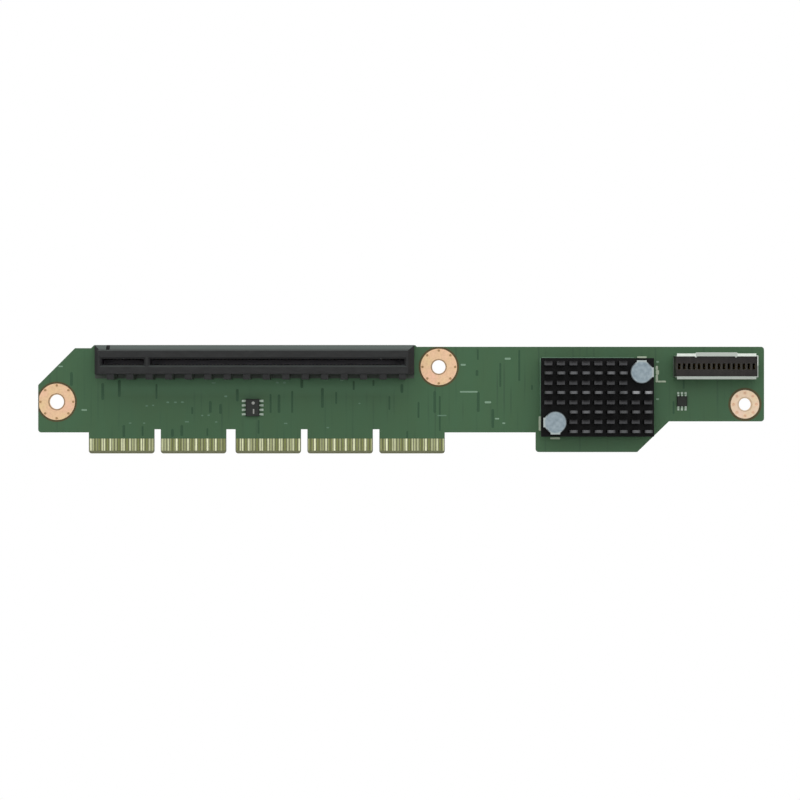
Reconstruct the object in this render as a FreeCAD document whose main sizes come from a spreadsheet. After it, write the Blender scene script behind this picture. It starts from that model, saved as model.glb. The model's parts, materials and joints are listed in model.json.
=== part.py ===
import FreeCAD, Part
import math
import os
import Sketcher
from FreeCAD import Placement, Rotation, Vector
from types import SimpleNamespace

# A riser card that stands upright: X runs along the card, Z points up, the fingers point down.
# The origin is the middle screw hole's centre on the component face, which is the plane Y = 0.
# Components stand in front of that face, towards -Y. The back face lies at Y = board_thickness.
# Lengths are millimetres. "Height" of a component is how far it stands in front of the face.

SIZES = [
    # Board outline, measured from the middle screw hole
    ("board_thickness", 1.6),
    ("right_edge", 92.8),
    ("top_left_rise", 5.35),
    ("top_right_rise", 5.75),
    ("connector_edge_rise", 0.85),
    ("connector_edge_margin", 0.3),
    ("left_margin", 16.225),
    ("corner_cut", 10.5),
    ("shoulder_drop", 18.7),
    ("tab_length", 6.0),
    ("tab_width", 18.67),
    ("first_tab", 99.85),
    ("tab_notch", 1.85),
    ("key_notch", 2.65),
    ("notch_depth", 0.9),
    ("lobe_left", 27.65),
    ("lobe_flat", 28.95),
    ("lobe_slope", 9.05),
    ("lobe_drop", 24.3),
    ("right_drop", 15.55),
    ("corner_radius", 0.9),
    ("tab_radius", 0.8),
    # Edge fingers
    ("finger_count", 23),
    ("finger_pitch", 0.8),
    ("finger_width", 0.55),
    ("finger_length", 3.45),
    ("bevel_length", 0.8),
    ("bevel_depth", 0.4),
    ("copper_thickness", 0.05),
    # Screw holes and their pads
    ("left_hole_from_edge", 5.3),
    ("left_hole_z", 9.95),
    ("right_hole_x", 87.35),
    ("right_hole_z", 10.67),
    ("left_hole_radius", 2.1),
    ("middle_hole_radius", 1.95),
    ("right_hole_radius", 1.8),
    ("large_pad_radius", 5.2),
    ("small_pad_radius", 4.2),
    # Card slot connector
    ("slot_to_pad_gap", 1.825),
    ("slot_z", 1.3),
    ("slot_height", 11.25),
    ("slot_face_width", 6.85),
    ("slot_flare", 1.5),
    ("slot_end_wall", 1.15),
    ("slot_end_flare", 1.6),
    ("slot_width", 1.75),
    ("slot_depth", 8.4),
    ("slot_lead_in", 0.5),
    ("slot_short_length", 11.95),
    ("slot_long_length", 71.95),
    ("slot_key_width", 1.65),
    ("slot_face_chamfer", 0.25),
    ("slot_flange", 1.5),
    ("slot_skirt_height", 1.6),
    ("rib_pitch", 5.5),
    ("rib_width", 2.0),
    ("rib_setback", 0.4),
    ("rib_from_key", 0.7),
    ("mark_notch_width", 1.0),
    ("mark_notch_from_end", 3.9),
    ("peg_radius", 1.15),
    ("peg_stand_out", 0.9),
    ("peg_clearance", 0.1),
    # Slot contacts
    ("slot_contact_pitch", 1.0),
    ("slot_contact_width", 0.5),
    ("slot_contact_thickness", 0.25),
    ("slot_contact_reach", 0.2),
    ("slot_contact_from_key", 1.5),
    ("slot_contact_from_end", 1.2),
    ("contact_channel", 1.15),
    ("contact_channel_roof", 1.6),
    # Retimer chip and its thermal pad
    ("retimer_x", 45.05),
    ("retimer_z", 8.7),
    ("retimer_side", 15.0),
    ("ball_height", 0.3),
    ("substrate_thickness", 1.0),
    ("lid_side", 13.0),
    ("lid_thickness", 0.9),
    ("lid_chamfer", 0.3),
    ("thermal_pad_side", 12.0),
    ("thermal_pad_thickness", 0.3),
    # Heatsink
    ("heatsink_length", 32.1),
    ("heatsink_width", 22.35),
    ("heatsink_base", 2.0),
    ("fin_column_pitch", 3.53),
    ("fin_row_pitch", 2.76),
    ("fin_length", 2.3),
    ("tall_fin_thickness", 0.8),
    ("low_fin_thickness", 1.2),
    ("tall_fin_height", 6.0),
    ("low_fin_height", 3.8),
    # Push pins and their springs
    ("push_pin_from_end", 3.85),
    ("push_pin_from_side", 4.075),
    ("push_pin_radius", 1.4),
    ("push_pin_play", 0.2),
    ("push_pin_head_radius", 3.15),
    ("push_pin_head_thickness", 1.3),
    ("push_pin_lug_width", 2.7),
    ("push_pin_lug_length", 0.22),
    ("barb_radius", 2.1),
    ("barb_length", 3.0),
    ("barb_tip_radius", 1.0),
    ("barb_split", 0.7),
    ("spring_height", 4.2),
    ("spring_wire", 0.45),
    ("spring_turns", 3),
    ("spring_play", 0.35),
    # Cable connector
    ("cable_x", 78.65),
    ("cable_z", 0.08),
    ("cable_length", 23.65),
    ("cable_inner_width", 5.65),
    ("cable_height", 7.0),
    ("shell_thickness", 0.25),
    ("shell_lip", 0.58),
    ("shell_rise", 0.3),
    ("shell_rise_length", 11.5),
    ("shell_end_setback", 0.3),
    ("shell_open_end_setback", 5.6),
    ("shell_leg_width", 0.8),
    ("shell_leg_inset", 3.0),
    ("shell_leg_stand_out", 0.7),
    ("shell_leg_play", 0.15),
    ("insulator_clearance", 0.05),
    ("insulator_setback", 0.4),
    ("cell_pitch", 1.41),
    ("cell_width", 0.75),
    ("cell_height", 1.7),
    ("cable_contact_width", 0.45),
    ("cable_contact_thickness", 0.2),
    ("cable_contact_depth", 1.0),
    # Memory chip
    ("memory_x", 53.1),
    ("memory_z", 11.6),
    ("memory_body_length", 3.9),
    ("memory_body_width", 4.9),
    ("memory_body_height", 1.45),
    ("memory_span", 6.0),
    ("memory_lead_count", 4),
    ("memory_lead_pitch", 1.27),
    ("memory_lead_width", 0.42),
    # Small chip
    ("small_chip_x", 69.35),
    ("small_chip_z", 9.8),
    ("small_chip_length", 2.9),
    ("small_chip_width", 2.9),
    ("small_chip_height", 1.0),
    ("small_chip_span", 5.2),
    ("small_chip_lead_count", 3),
    ("small_chip_lead_pitch", 1.03),
    ("small_chip_lead_width", 0.5),
    ("chip_stand_off", 0.1),
    ("chip_chamfer", 0.25),
    ("lead_thickness", 0.18),
    ("lead_foot", 0.6),
    # Decoupling capacitors on the back
    ("capacitor_length", 1.6),
    ("capacitor_width", 0.8),
    ("capacitor_end", 0.35),
    ("capacitor_columns", 6),
    ("capacitor_rows", 2),
    ("capacitor_column_pitch", 2.4),
    ("capacitor_row_pitch", 3.6),
]


class Size:
    """A length that carries both its number and the sheet expression that gives it."""

    def __init__(self, value, text=None):
        self.value = float(value)
        self.text = text or f"{float(value):.6f}"

    def __add__(self, other):
        other = as_size(other)
        return Size(self.value + other.value, f"({self.text} + {other.text})")

    def __sub__(self, other):
        other = as_size(other)
        return Size(self.value - other.value, f"({self.text} - {other.text})")

    def __mul__(self, factor):
        factor = as_size(factor)
        return Size(self.value * factor.value, f"({self.text} * {factor.text})")

    def __truediv__(self, divisor):
        divisor = as_size(divisor)
        return Size(self.value / divisor.value, f"({self.text} / {divisor.text})")

    def __neg__(self):
        return Size(-self.value, f"(-1 * {self.text})")

    def whole(self):
        """How many whole times a pitch fits, for a length that was divided by that pitch."""
        return Size(math.floor(self.value), f"floor({self.text})")


def as_size(number):
    return number if isinstance(number, Size) else Size(number)


doc = FreeCAD.newDocument("RiserCard")


def make_sheet():
    """Writes the sizes into the sheet and hands them back under their names."""
    sheet = doc.addObject("Spreadsheet::Sheet", "Sizes")
    for row, (alias, value) in enumerate(SIZES, start=1):
        sheet.set(f"A{row}", alias)
        sheet.set(f"B{row}", str(value))
        sheet.setAlias(f"B{row}", alias)
    doc.recompute()
    return SimpleNamespace(**{alias: Size(sheet.get(alias), f"Sizes.{alias}") for alias, _ in SIZES})


size = make_sheet()
ZERO = Size(0)
parts = []

# In a pattern's list of spacings, this value stands for the pattern's own offset
USE_OFFSET = -1.0


# Helpers for sketches and features


def bind(feature, prop, value):
    """Ties one property to the sheet."""
    feature.setExpression(prop, as_size(value).text)


def new_body(name, x=ZERO, z=ZERO):
    """A body whose own origin stands at x, z on the component face."""
    body = doc.addObject("PartDesign::Body", name)
    body.Label = name
    bind(body, "Placement.Base.x", x)
    bind(body, "Placement.Base.z", z)
    parts.append(body)
    return body


def new_sketch(body, name, plane="XZ_Plane", out=ZERO):
    """An empty sketch on one of the body's planes, moved out along that plane's normal."""
    sketch = body.newObject("Sketcher::SketchObject", f"{body.Label}_{name}")
    origin_plane = next(f for f in body.Origin.OriginFeatures if f.Role == plane)
    sketch.AttachmentSupport = [(origin_plane, "")]
    sketch.MapMode = "FlatFace"
    bind(sketch, "AttachmentOffset.Base.z", out)
    return sketch


def tie(sketch, kind, geometry, point, value):
    """Holds a point's distance from the sketch origin at a sheet value."""
    number = sketch.addConstraint(Sketcher.Constraint(kind, -1, 1, geometry, point, value.value))
    sketch.setExpression(f"Constraints[{number}]", value.text)


def add_loop(sketch, corners):
    """Straight lines through the corners, closed, each corner tied to the sheet."""
    corners = [(as_size(x), as_size(y)) for x, y in corners]
    first = sketch.GeometryCount
    points = [Vector(x.value, y.value, 0) for x, y in corners]
    for start, end in zip(points, points[1:] + points[:1]):
        sketch.addGeometry(Part.LineSegment(start, end), False)
    for i, (x, y) in enumerate(corners):
        following = first + (i + 1) % len(corners)
        sketch.addConstraint(Sketcher.Constraint("Coincident", first + i, 2, following, 1))
        tie(sketch, "DistanceX", first + i, 1, x)
        tie(sketch, "DistanceY", first + i, 1, y)


def add_rectangle(sketch, left, right, low, high):
    add_loop(sketch, [(left, low), (right, low), (right, high), (left, high)])


def add_box(sketch, x, y, width, height):
    """A rectangle centred on x, y."""
    x, y = as_size(x), as_size(y)
    add_rectangle(sketch, x - width / 2, x + width / 2, y - height / 2, y + height / 2)


def add_circle(sketch, x, y, radius):
    x, y = as_size(x), as_size(y)
    circle = Part.Circle(Vector(x.value, y.value, 0), Vector(0, 0, 1), radius.value)
    number = sketch.addGeometry(circle, False)
    tie(sketch, "DistanceX", number, 3, x)
    tie(sketch, "DistanceY", number, 3, y)
    constraint = sketch.addConstraint(Sketcher.Constraint("Radius", number, radius.value))
    sketch.setExpression(f"Constraints[{constraint}]", radius.text)


def pad(sketch, length, reverse=False):
    body = sketch.getParentGeoFeatureGroup()
    feature = body.newObject("PartDesign::Pad", f"{sketch.Name}_pad")
    feature.Profile = sketch
    bind(feature, "Length", length)
    feature.Reversed = reverse
    return feature


def pocket(sketch, depth, reverse=False):
    """Cuts depth into the body and makes sure that it took something away."""
    body = sketch.getParentGeoFeatureGroup()
    doc.recompute()
    before = body.Tip.Shape.Volume
    feature = body.newObject("PartDesign::Pocket", f"{sketch.Name}_pocket")
    feature.Profile = sketch
    bind(feature, "Length", depth)
    feature.Reversed = reverse
    doc.recompute()
    if feature.Shape.isNull() or feature.Shape.Volume >= before:
        raise RuntimeError(f"{feature.Name} cuts nothing")
    return feature


def revolve(sketch):
    """Turns a sketch once round its own vertical axis."""
    body = sketch.getParentGeoFeatureGroup()
    feature = body.newObject("PartDesign::Revolution", f"{sketch.Name}_turned")
    feature.Profile = sketch
    feature.ReferenceAxis = (sketch, ["V_Axis"])
    feature.Angle = 360
    return feature


def pattern(feature, sketch, axis, spacing, count):
    """Repeats a feature in a row along one axis of its sketch."""
    body = sketch.getParentGeoFeatureGroup()
    row = body.newObject("PartDesign::LinearPattern", f"{feature.Name}_row")
    row.Originals = [feature]
    row.Direction = (sketch, [axis])
    row.Mode = "Spacing"
    bind(row, "Offset", spacing)
    bind(row, "Occurrences", count)
    body.Tip = row
    return row


def grid(feature, sketch, column_spacing, columns, row_spacing, rows):
    """Repeats a feature in columns to the right and rows upwards."""
    both = pattern(feature, sketch, "H_Axis", column_spacing, columns)
    both.Direction2 = (sketch, ["V_Axis"])
    both.Mode2 = "Spacing"
    bind(both, "Offset2", row_spacing)
    bind(both, "Occurrences2", rows)
    both.Spacings2 = [USE_OFFSET] * (int(rows.value) - 1)
    return both


def near(value, target, tolerance=1e-4):
    return abs(value - target) < tolerance


def edges_where(shape, wanted):
    """Names of the edges whose two end points both pass the wanted test."""
    names = []
    for number, edge in enumerate(shape.Edges, start=1):
        if len(edge.Vertexes) == 2 and all(wanted(vertex.Point) for vertex in edge.Vertexes):
            names.append(f"Edge{number}")
    return names


def corner_edges(shape, corners):
    """Names of the edges that run straight through the board at the given corners of its outline."""
    names = []
    for x, z in corners:
        names += edges_where(shape, lambda p: near(p.x, x.value) and near(p.z, z.value))
    return names


def dress(body, kind, prop, amount, pick):
    """Rounds or chamfers the edges that the pick function names."""
    doc.recompute()
    base = body.Tip
    names = pick(base.Shape)
    if not names:
        raise RuntimeError(f"{body.Label}: no edge to dress")
    feature = body.newObject(f"PartDesign::{kind}", f"{body.Label}_{kind}_{len(body.Group)}")
    feature.Base = (base, names)
    bind(feature, prop, amount)
    return feature


def solid_group(name, solids):
    """One sub-part made of many loose solids that share a shape."""
    feature = doc.addObject("Part::Feature", name)
    feature.Label = name
    feature.Shape = Part.makeCompound(solids)
    feature.Placement = Placement(Vector(0, 0, 0), Rotation())
    parts.append(feature)
    return feature


def block(low, high):
    """A box solid between two corners."""
    low, high = Vector(*low), Vector(*high)
    span = high - low
    return Part.makeBox(span.x, span.y, span.z, low)


def spring_contact(centre_line, thickness, low_x, width):
    """A bent metal strip that tapers to its tip. Its centre line lies in the YZ plane and its width runs along X."""
    points = [Vector(0, y, z) for y, z in centre_line]
    runs = [(end - start).normalize() for start, end in zip(points, points[1:])]
    one_side, other_side = [], []
    for i, point in enumerate(points[:-1]):
        along = (runs[i] + runs[max(i - 1, 0)]).normalize()
        across = Vector(0, -along.z, along.y) * (thickness / 2 / along.dot(runs[i]))
        one_side.append(point + across)
        other_side.append(point - across)
    outline = one_side + [points[-1]] + other_side[::-1]
    face = Part.Face(Part.makePolygon(outline + outline[:1]))
    face.translate(Vector(low_x, 0, 0))
    return face.extrude(Vector(width, 0, 0))


# Where the five edge tabs begin and end along X


def tab_spans():
    """Left and right end of each tab. The gap after the second tab takes the key of the system slot."""
    spans = []
    left = -size.first_tab
    for number in range(5):
        right = left + size.tab_width
        spans.append((left, right))
        left = right + (size.key_notch if number == 1 else size.tab_notch)
    return spans


TABS = tab_spans()

# The card slot ends beside the middle screw hole's pad. Its key parts a long side from a short one.
SLOT_BASE_RIGHT = -(size.large_pad_radius + size.slot_to_pad_gap)
SLOT_FACE_RIGHT = SLOT_BASE_RIGHT - size.slot_end_flare
SLOT_RIGHT = SLOT_FACE_RIGHT - size.slot_end_wall
SLOT_KEY_X = SLOT_RIGHT - size.slot_long_length - size.slot_key_width / 2
SLOT_LEFT = SLOT_KEY_X - size.slot_key_width / 2 - size.slot_short_length
SLOT_FACE_LEFT = SLOT_LEFT - size.slot_end_wall
SLOT_BASE_LEFT = SLOT_FACE_LEFT - size.slot_end_flare
SLOT_PEGS = [SLOT_LEFT + size.slot_short_length / 2, SLOT_RIGHT - size.slot_short_length / 2]
SLOT_PARTS = [
    (SLOT_LEFT, SLOT_LEFT + size.slot_short_length),
    (SLOT_RIGHT - size.slot_long_length, SLOT_RIGHT),
]
KEY_RIB = SLOT_KEY_X + size.rib_from_key
FIRST_RIB = KEY_RIB - size.rib_pitch * ((KEY_RIB - SLOT_FACE_LEFT) / size.rib_pitch).whole()
RIB_COUNT = ((SLOT_FACE_RIGHT - FIRST_RIB) / size.rib_pitch).whole() + 1

BOARD_LEFT = SLOT_BASE_LEFT - size.left_margin
LEFT_HOLE_X = BOARD_LEFT + size.left_hole_from_edge
SCREW_HOLES = [
    ("left", LEFT_HOLE_X, -size.left_hole_z, size.left_hole_radius, size.large_pad_radius),
    ("middle", ZERO, ZERO, size.middle_hole_radius, size.large_pad_radius),
    ("right", size.right_hole_x, -size.right_hole_z, size.right_hole_radius, size.small_pad_radius),
]
RETIMER = (size.retimer_x, -size.retimer_z)

# The push pins stand in two opposite corners of the heatsink, measured from its centre
PIN_X = size.heatsink_length / 2 - size.push_pin_from_end
PIN_Z = size.heatsink_width / 2 - size.push_pin_from_side
PUSH_PINS = [
    ("upper", RETIMER[0] + PIN_X, RETIMER[1] + PIN_Z, 0),
    ("lower", RETIMER[0] - PIN_X, RETIMER[1] - PIN_Z, 180),
]
FIN_COLUMNS = (size.heatsink_length / size.fin_column_pitch).whole()
FIN_ROW_PAIRS = (size.heatsink_width / size.fin_row_pitch / 2).whole()

# How far in front of the board each layer of the heatsink stack begins
SUBSTRATE_SEAT = size.ball_height
LID_SEAT = SUBSTRATE_SEAT + size.substrate_thickness
THERMAL_PAD_SEAT = LID_SEAT + size.lid_thickness
HEATSINK_SEAT = THERMAL_PAD_SEAT + size.thermal_pad_thickness
FIN_SEAT = HEATSINK_SEAT + size.heatsink_base

# Each spring clears the base and the pin's head by a hair
SPRING_END_PLAY = 0.02
SPRING_STEPS_PER_TURN = 8

# Contacts stand straight for this share of their length and then lean inwards
CONTACT_BEND = 0.45

INSULATOR_HEIGHT = size.cable_height - size.insulator_setback
INSULATOR_LENGTH = size.cable_length - (size.shell_thickness + size.insulator_clearance) * 2
CELL_COUNT = (INSULATOR_LENGTH / size.cell_pitch).whole()
FIRST_CELL = -size.cell_pitch * (CELL_COUNT - 1) / 2

# The shell's four legs, measured from the cable connector's centre
LEG_X = size.cable_length / 2 - size.shell_leg_inset
LEG_Z = (size.cable_inner_width + size.shell_thickness) / 2
SHELL_LEGS = [(-LEG_X, -LEG_Z), (LEG_X, -LEG_Z), (-LEG_X, LEG_Z), (LEG_X, LEG_Z)]


# Circuit board


def make_board():
    body = new_body("circuit_board")
    tab_drop = size.shoulder_drop + size.tab_length
    notch_top = size.notch_depth - size.shoulder_drop
    raised = size.top_left_rise + size.connector_edge_rise
    raised_left = SLOT_BASE_LEFT - size.connector_edge_margin
    raised_right = SLOT_BASE_RIGHT + size.connector_edge_margin
    lobe_right = size.lobe_left + size.lobe_flat

    tab_corners = []
    outline = [
        (BOARD_LEFT, size.top_left_rise - size.corner_cut),
        (BOARD_LEFT + size.corner_cut, size.top_left_rise),
        (raised_left - size.connector_edge_rise, size.top_left_rise),
        (raised_left, raised),
        (raised_right, raised),
        (raised_right + raised - size.top_right_rise, size.top_right_rise),
        (size.right_edge, size.top_right_rise),
        (size.right_edge, -size.right_drop),
        (lobe_right + size.lobe_slope, -size.right_drop),
        (lobe_right, -size.lobe_drop),
        (size.lobe_left, -size.lobe_drop),
        (size.lobe_left, -size.shoulder_drop),
    ]
    for number in range(len(TABS) - 1, -1, -1):
        left, right = TABS[number]
        right_top = -size.shoulder_drop if number == len(TABS) - 1 else notch_top
        left_top = -size.shoulder_drop if number == 0 else notch_top
        outline += [(right, right_top), (right, -tab_drop), (left, -tab_drop), (left, left_top)]
        tab_corners += [(right, -tab_drop), (left, -tab_drop)]
    outline.append((BOARD_LEFT, -size.shoulder_drop))
    board_corners = [outline[6], outline[7], outline[10], outline[-1]]

    sketch = new_sketch(body, "outline")
    add_loop(sketch, outline)
    pad(sketch, size.board_thickness, reverse=True)
    for radius, corners in ((size.corner_radius, board_corners), (size.tab_radius, tab_corners)):
        dress(body, "Fillet", "Radius", radius, lambda shape: corner_edges(shape, corners))

    bevel = new_sketch(body, "bevel", "YZ_Plane", out=TABS[0][0])
    for face, inward in ((ZERO, size.bevel_depth), (size.board_thickness, -size.bevel_depth)):
        add_loop(bevel, [(face, -tab_drop), (face, size.bevel_length - tab_drop), (face + inward, -tab_drop)])
    pocket(bevel, TABS[-1][1] - TABS[0][0], reverse=True)

    holes = new_sketch(body, "holes")
    for _, x, z, radius, _ in SCREW_HOLES:
        add_circle(holes, x, z, radius)
    for _, x, z, _ in PUSH_PINS:
        add_circle(holes, x, z, size.push_pin_radius + size.push_pin_play)
    for x in SLOT_PEGS:
        add_circle(holes, x, size.slot_z, size.peg_radius + size.peg_clearance)
    for x, z in SHELL_LEGS:
        add_box(holes, size.cable_x + x, size.cable_z + z, size.shell_leg_width + size.shell_leg_play * 2,
                size.shell_thickness + size.shell_leg_play * 2)
    pocket(holes, size.board_thickness)


def make_edge_fingers():
    """The gold contacts near the lower edge of each tab, on both faces."""
    low = -(size.shoulder_drop + size.tab_length - size.bevel_length).value
    high = low + size.finger_length.value
    copper = size.copper_thickness.value
    back = size.board_thickness.value
    pitch, width = size.finger_pitch.value, size.finger_width.value
    count = int(size.finger_count.value)
    starts = []
    for left, right in TABS:
        middle = (left.value + right.value) / 2
        first = middle - pitch * (count - 1) / 2 - width / 2
        starts += [first + pitch * i for i in range(count)]
    solid_group("edge_fingers_front", [block((x, -copper, low), (x + width, 0, high)) for x in starts])
    solid_group("edge_fingers_back", [block((x, back, low), (x + width, back + copper, high)) for x in starts])


def make_screw_pads(side, x, z, radius, pad_radius):
    """Flat copper rings round a screw hole, one on each face, which a screw head bears on."""
    body = new_body(f"{side}_screw_pads", x, z)
    sketch = new_sketch(body, "section", "XY_Plane")
    copper, board = size.copper_thickness, size.board_thickness
    add_rectangle(sketch, radius, pad_radius, -copper, ZERO)
    add_rectangle(sketch, radius, pad_radius, board, board + copper)
    revolve(sketch)


# Card slot connector


def make_slot_housing():
    body = new_body("slot_housing")
    half = size.slot_face_width / 2
    wall_low = size.slot_z - half
    wall_high = size.slot_z + half
    skirt_high = wall_high + size.slot_flare

    walls = new_sketch(body, "walls")
    add_rectangle(walls, SLOT_FACE_LEFT, SLOT_FACE_RIGHT, wall_low, wall_high)
    pad(walls, size.slot_height)
    flange = new_sketch(body, "flange")
    add_rectangle(flange, SLOT_BASE_LEFT, SLOT_BASE_RIGHT, wall_low, skirt_high)
    pad(flange, size.slot_flange)

    # A sloped skirt joins the flange to the upper wall and to both ends
    skirt_foot = new_sketch(body, "skirt_foot", out=size.slot_flange)
    add_rectangle(skirt_foot, SLOT_BASE_LEFT, SLOT_BASE_RIGHT, wall_low, skirt_high)
    skirt_top = new_sketch(body, "skirt_top", out=size.slot_flange + size.slot_skirt_height)
    add_rectangle(skirt_top, SLOT_FACE_LEFT, SLOT_FACE_RIGHT, wall_low, wall_high)
    skirt = body.newObject("PartDesign::AdditiveLoft", "slot_skirt")
    skirt.Profile = skirt_foot
    skirt.Sections = [skirt_top]
    skirt.Ruled = True

    # Upright ribs stiffen the lower wall, and the board shows between them
    rib = new_sketch(body, "rib")
    add_box(rib, FIRST_RIB, wall_low - size.slot_flare / 2, size.rib_width, size.slot_flare)
    pattern(pad(rib, size.slot_height - size.rib_setback), rib, "H_Axis", size.rib_pitch, RIB_COUNT)

    slots = new_sketch(body, "slots", out=size.slot_height)
    for left, right in SLOT_PARTS:
        add_box(slots, (left + right) / 2, size.slot_z, right - left, size.slot_width)
    pocket(slots, size.slot_depth)

    slot_half = (size.slot_width / 2).value
    face_y = -size.slot_height.value
    middle_z = size.slot_z.value
    for chamfer, reach in ((size.slot_lead_in, slot_half), (size.slot_face_chamfer, half.value)):
        dress(body, "Chamfer", "Size", chamfer, lambda shape: edges_where(
            shape, lambda p: near(p.y, face_y) and near(abs(p.z - middle_z), reach)))

    channels = new_sketch(body, "channels")
    channel_z = size.slot_width / 2 + size.contact_channel / 2
    for left, right in SLOT_PARTS:
        for z in (size.slot_z + channel_z, size.slot_z - channel_z):
            add_box(channels, (left + right) / 2, z, right - left, size.contact_channel)
    pocket(channels, size.slot_height - size.contact_channel_roof, reverse=True)

    mark = new_sketch(body, "mark", out=size.slot_height)
    mark_x = SLOT_BASE_LEFT + size.mark_notch_from_end
    add_box(mark, mark_x, wall_high + size.slot_flare, size.mark_notch_width, size.slot_flare * 2)
    pocket(mark, size.slot_height - size.slot_flange)

    pegs = new_sketch(body, "pegs")
    for x in SLOT_PEGS:
        add_circle(pegs, x, size.slot_z, size.peg_radius)
    pad(pegs, size.board_thickness + size.peg_stand_out, reverse=True)


def make_slot_contacts():
    """Two facing rows of bent springs. Each tail stands on the board and each tip reaches into the slot."""
    wall = (size.slot_width / 2).value
    tail = wall + size.contact_channel.value - size.slot_contact_thickness.value
    tip = wall - size.slot_contact_reach.value
    tip_y = size.contact_channel_roof.value + size.slot_contact_thickness.value * 2 - size.slot_height.value
    bend_y = tip_y * CONTACT_BEND
    width = size.slot_contact_width.value
    places = []
    for side, length in ((-1, size.slot_short_length), (1, size.slot_long_length)):
        room = length + size.slot_key_width / 2 - size.slot_contact_from_key - size.slot_contact_from_end
        count = (room / size.slot_contact_pitch).whole() + 1
        for i in range(int(count.value)):
            from_key = size.slot_contact_from_key + size.slot_contact_pitch * i
            places.append((SLOT_KEY_X + from_key * side).value)
    for name, side in (("slot_contacts_upper", 1), ("slot_contacts_lower", -1)):
        middle = size.slot_z.value
        line = [
            (0, middle + side * tail),
            (bend_y, middle + side * tail),
            (tip_y, middle + side * tip),
        ]
        spring = spring_contact(line, size.slot_contact_thickness.value, -width / 2, width)
        solid_group(name, [spring.translated(Vector(x, 0, 0)) for x in places])


# Retimer chip, thermal pad and heatsink


def make_square_plate(name, side, thickness, out, chamfer=None):
    body = new_body(name, *RETIMER)
    sketch = new_sketch(body, "outline", out=out)
    add_box(sketch, 0, 0, side, side)
    pad(sketch, thickness)
    if chamfer:
        top = -(out + thickness).value
        dress(body, "Chamfer", "Size", chamfer, lambda shape: edges_where(shape, lambda p: near(p.y, top)))


def make_heatsink():
    body = new_body("heatsink", *RETIMER)
    base = new_sketch(body, "base", out=HEATSINK_SEAT)
    add_box(base, 0, 0, size.heatsink_length, size.heatsink_width)
    pad(base, size.heatsink_base)

    # Rows of tall and low fins alternate, and the lowest row is tall
    first_x = -size.fin_column_pitch * (FIN_COLUMNS - 1) / 2
    lowest = size.fin_row_pitch * (Size(0.5) - FIN_ROW_PAIRS)
    for name, z, thickness, rise in (
        ("tall_fin", lowest, size.tall_fin_thickness, size.tall_fin_height),
        ("low_fin", lowest + size.fin_row_pitch, size.low_fin_thickness, size.low_fin_height),
    ):
        sketch = new_sketch(body, name, out=FIN_SEAT)
        add_box(sketch, first_x, z, size.fin_length, thickness)
        grid(pad(sketch, rise), sketch, size.fin_column_pitch, FIN_COLUMNS,
             size.fin_row_pitch * 2, FIN_ROW_PAIRS)

    # Two corners stay free of fins, for the push pins: two columns wide and three rows deep
    corners = new_sketch(body, "free_corners", out=FIN_SEAT + size.tall_fin_height)
    inner_x = size.fin_column_pitch * (FIN_COLUMNS / 2 - 2)
    inner_z = size.fin_row_pitch * (FIN_ROW_PAIRS - 3)
    outer_x = size.heatsink_length / 2
    outer_z = size.heatsink_width / 2
    add_rectangle(corners, inner_x, outer_x, inner_z, outer_z)
    add_rectangle(corners, -outer_x, -inner_x, -outer_z, -inner_z)
    pocket(corners, size.tall_fin_height)

    holes = new_sketch(body, "pin_holes", out=FIN_SEAT)
    for side in (1, -1):
        add_circle(holes, PIN_X * side, PIN_Z * side, size.push_pin_radius + size.push_pin_play)
    pocket(holes, size.heatsink_base)


def make_push_pin(side, x, z, turn):
    """A plastic pin with a round head, two lugs on its rim and a split barb that grips the board's back."""
    body = new_body(f"{side}_push_pin", x, z)
    body.Placement.Rotation = Rotation(Vector(0, 1, 0), turn)
    head_low = FIN_SEAT + size.spring_height
    head_top = head_low + size.push_pin_head_thickness
    board = size.board_thickness
    section = new_sketch(body, "section", "XY_Plane")
    add_loop(section, [
        (ZERO, -head_top),
        (size.push_pin_head_radius, -head_top),
        (size.push_pin_head_radius, -head_low),
        (size.push_pin_radius, -head_low),
        (size.push_pin_radius, board),
        (size.barb_radius, board),
        (size.barb_tip_radius, board + size.barb_length),
        (ZERO, board + size.barb_length),
    ])
    revolve(section)

    lugs = new_sketch(body, "lugs", out=head_low)
    inner = size.push_pin_head_radius / 2
    outer = size.push_pin_head_radius + size.push_pin_lug_length
    middle, reach = (inner + outer) / 2, outer - inner
    add_loop(lugs, [
        (inner, -size.push_pin_lug_width / 2),
        (outer, -size.push_pin_lug_width / 2),
        (outer, size.push_pin_lug_width / 2),
        (size.push_pin_lug_width / 2, size.push_pin_lug_width / 2),
        (size.push_pin_lug_width / 2, outer),
        (-size.push_pin_lug_width / 2, outer),
        (-size.push_pin_lug_width / 2, inner),
    ])
    pad(lugs, size.push_pin_head_thickness)

    split = new_sketch(body, "split", out=-(board + size.barb_length))
    add_box(split, 0, 0, size.barb_split, size.barb_radius * 2.2)
    pocket(split, size.barb_length, reverse=True)


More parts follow.
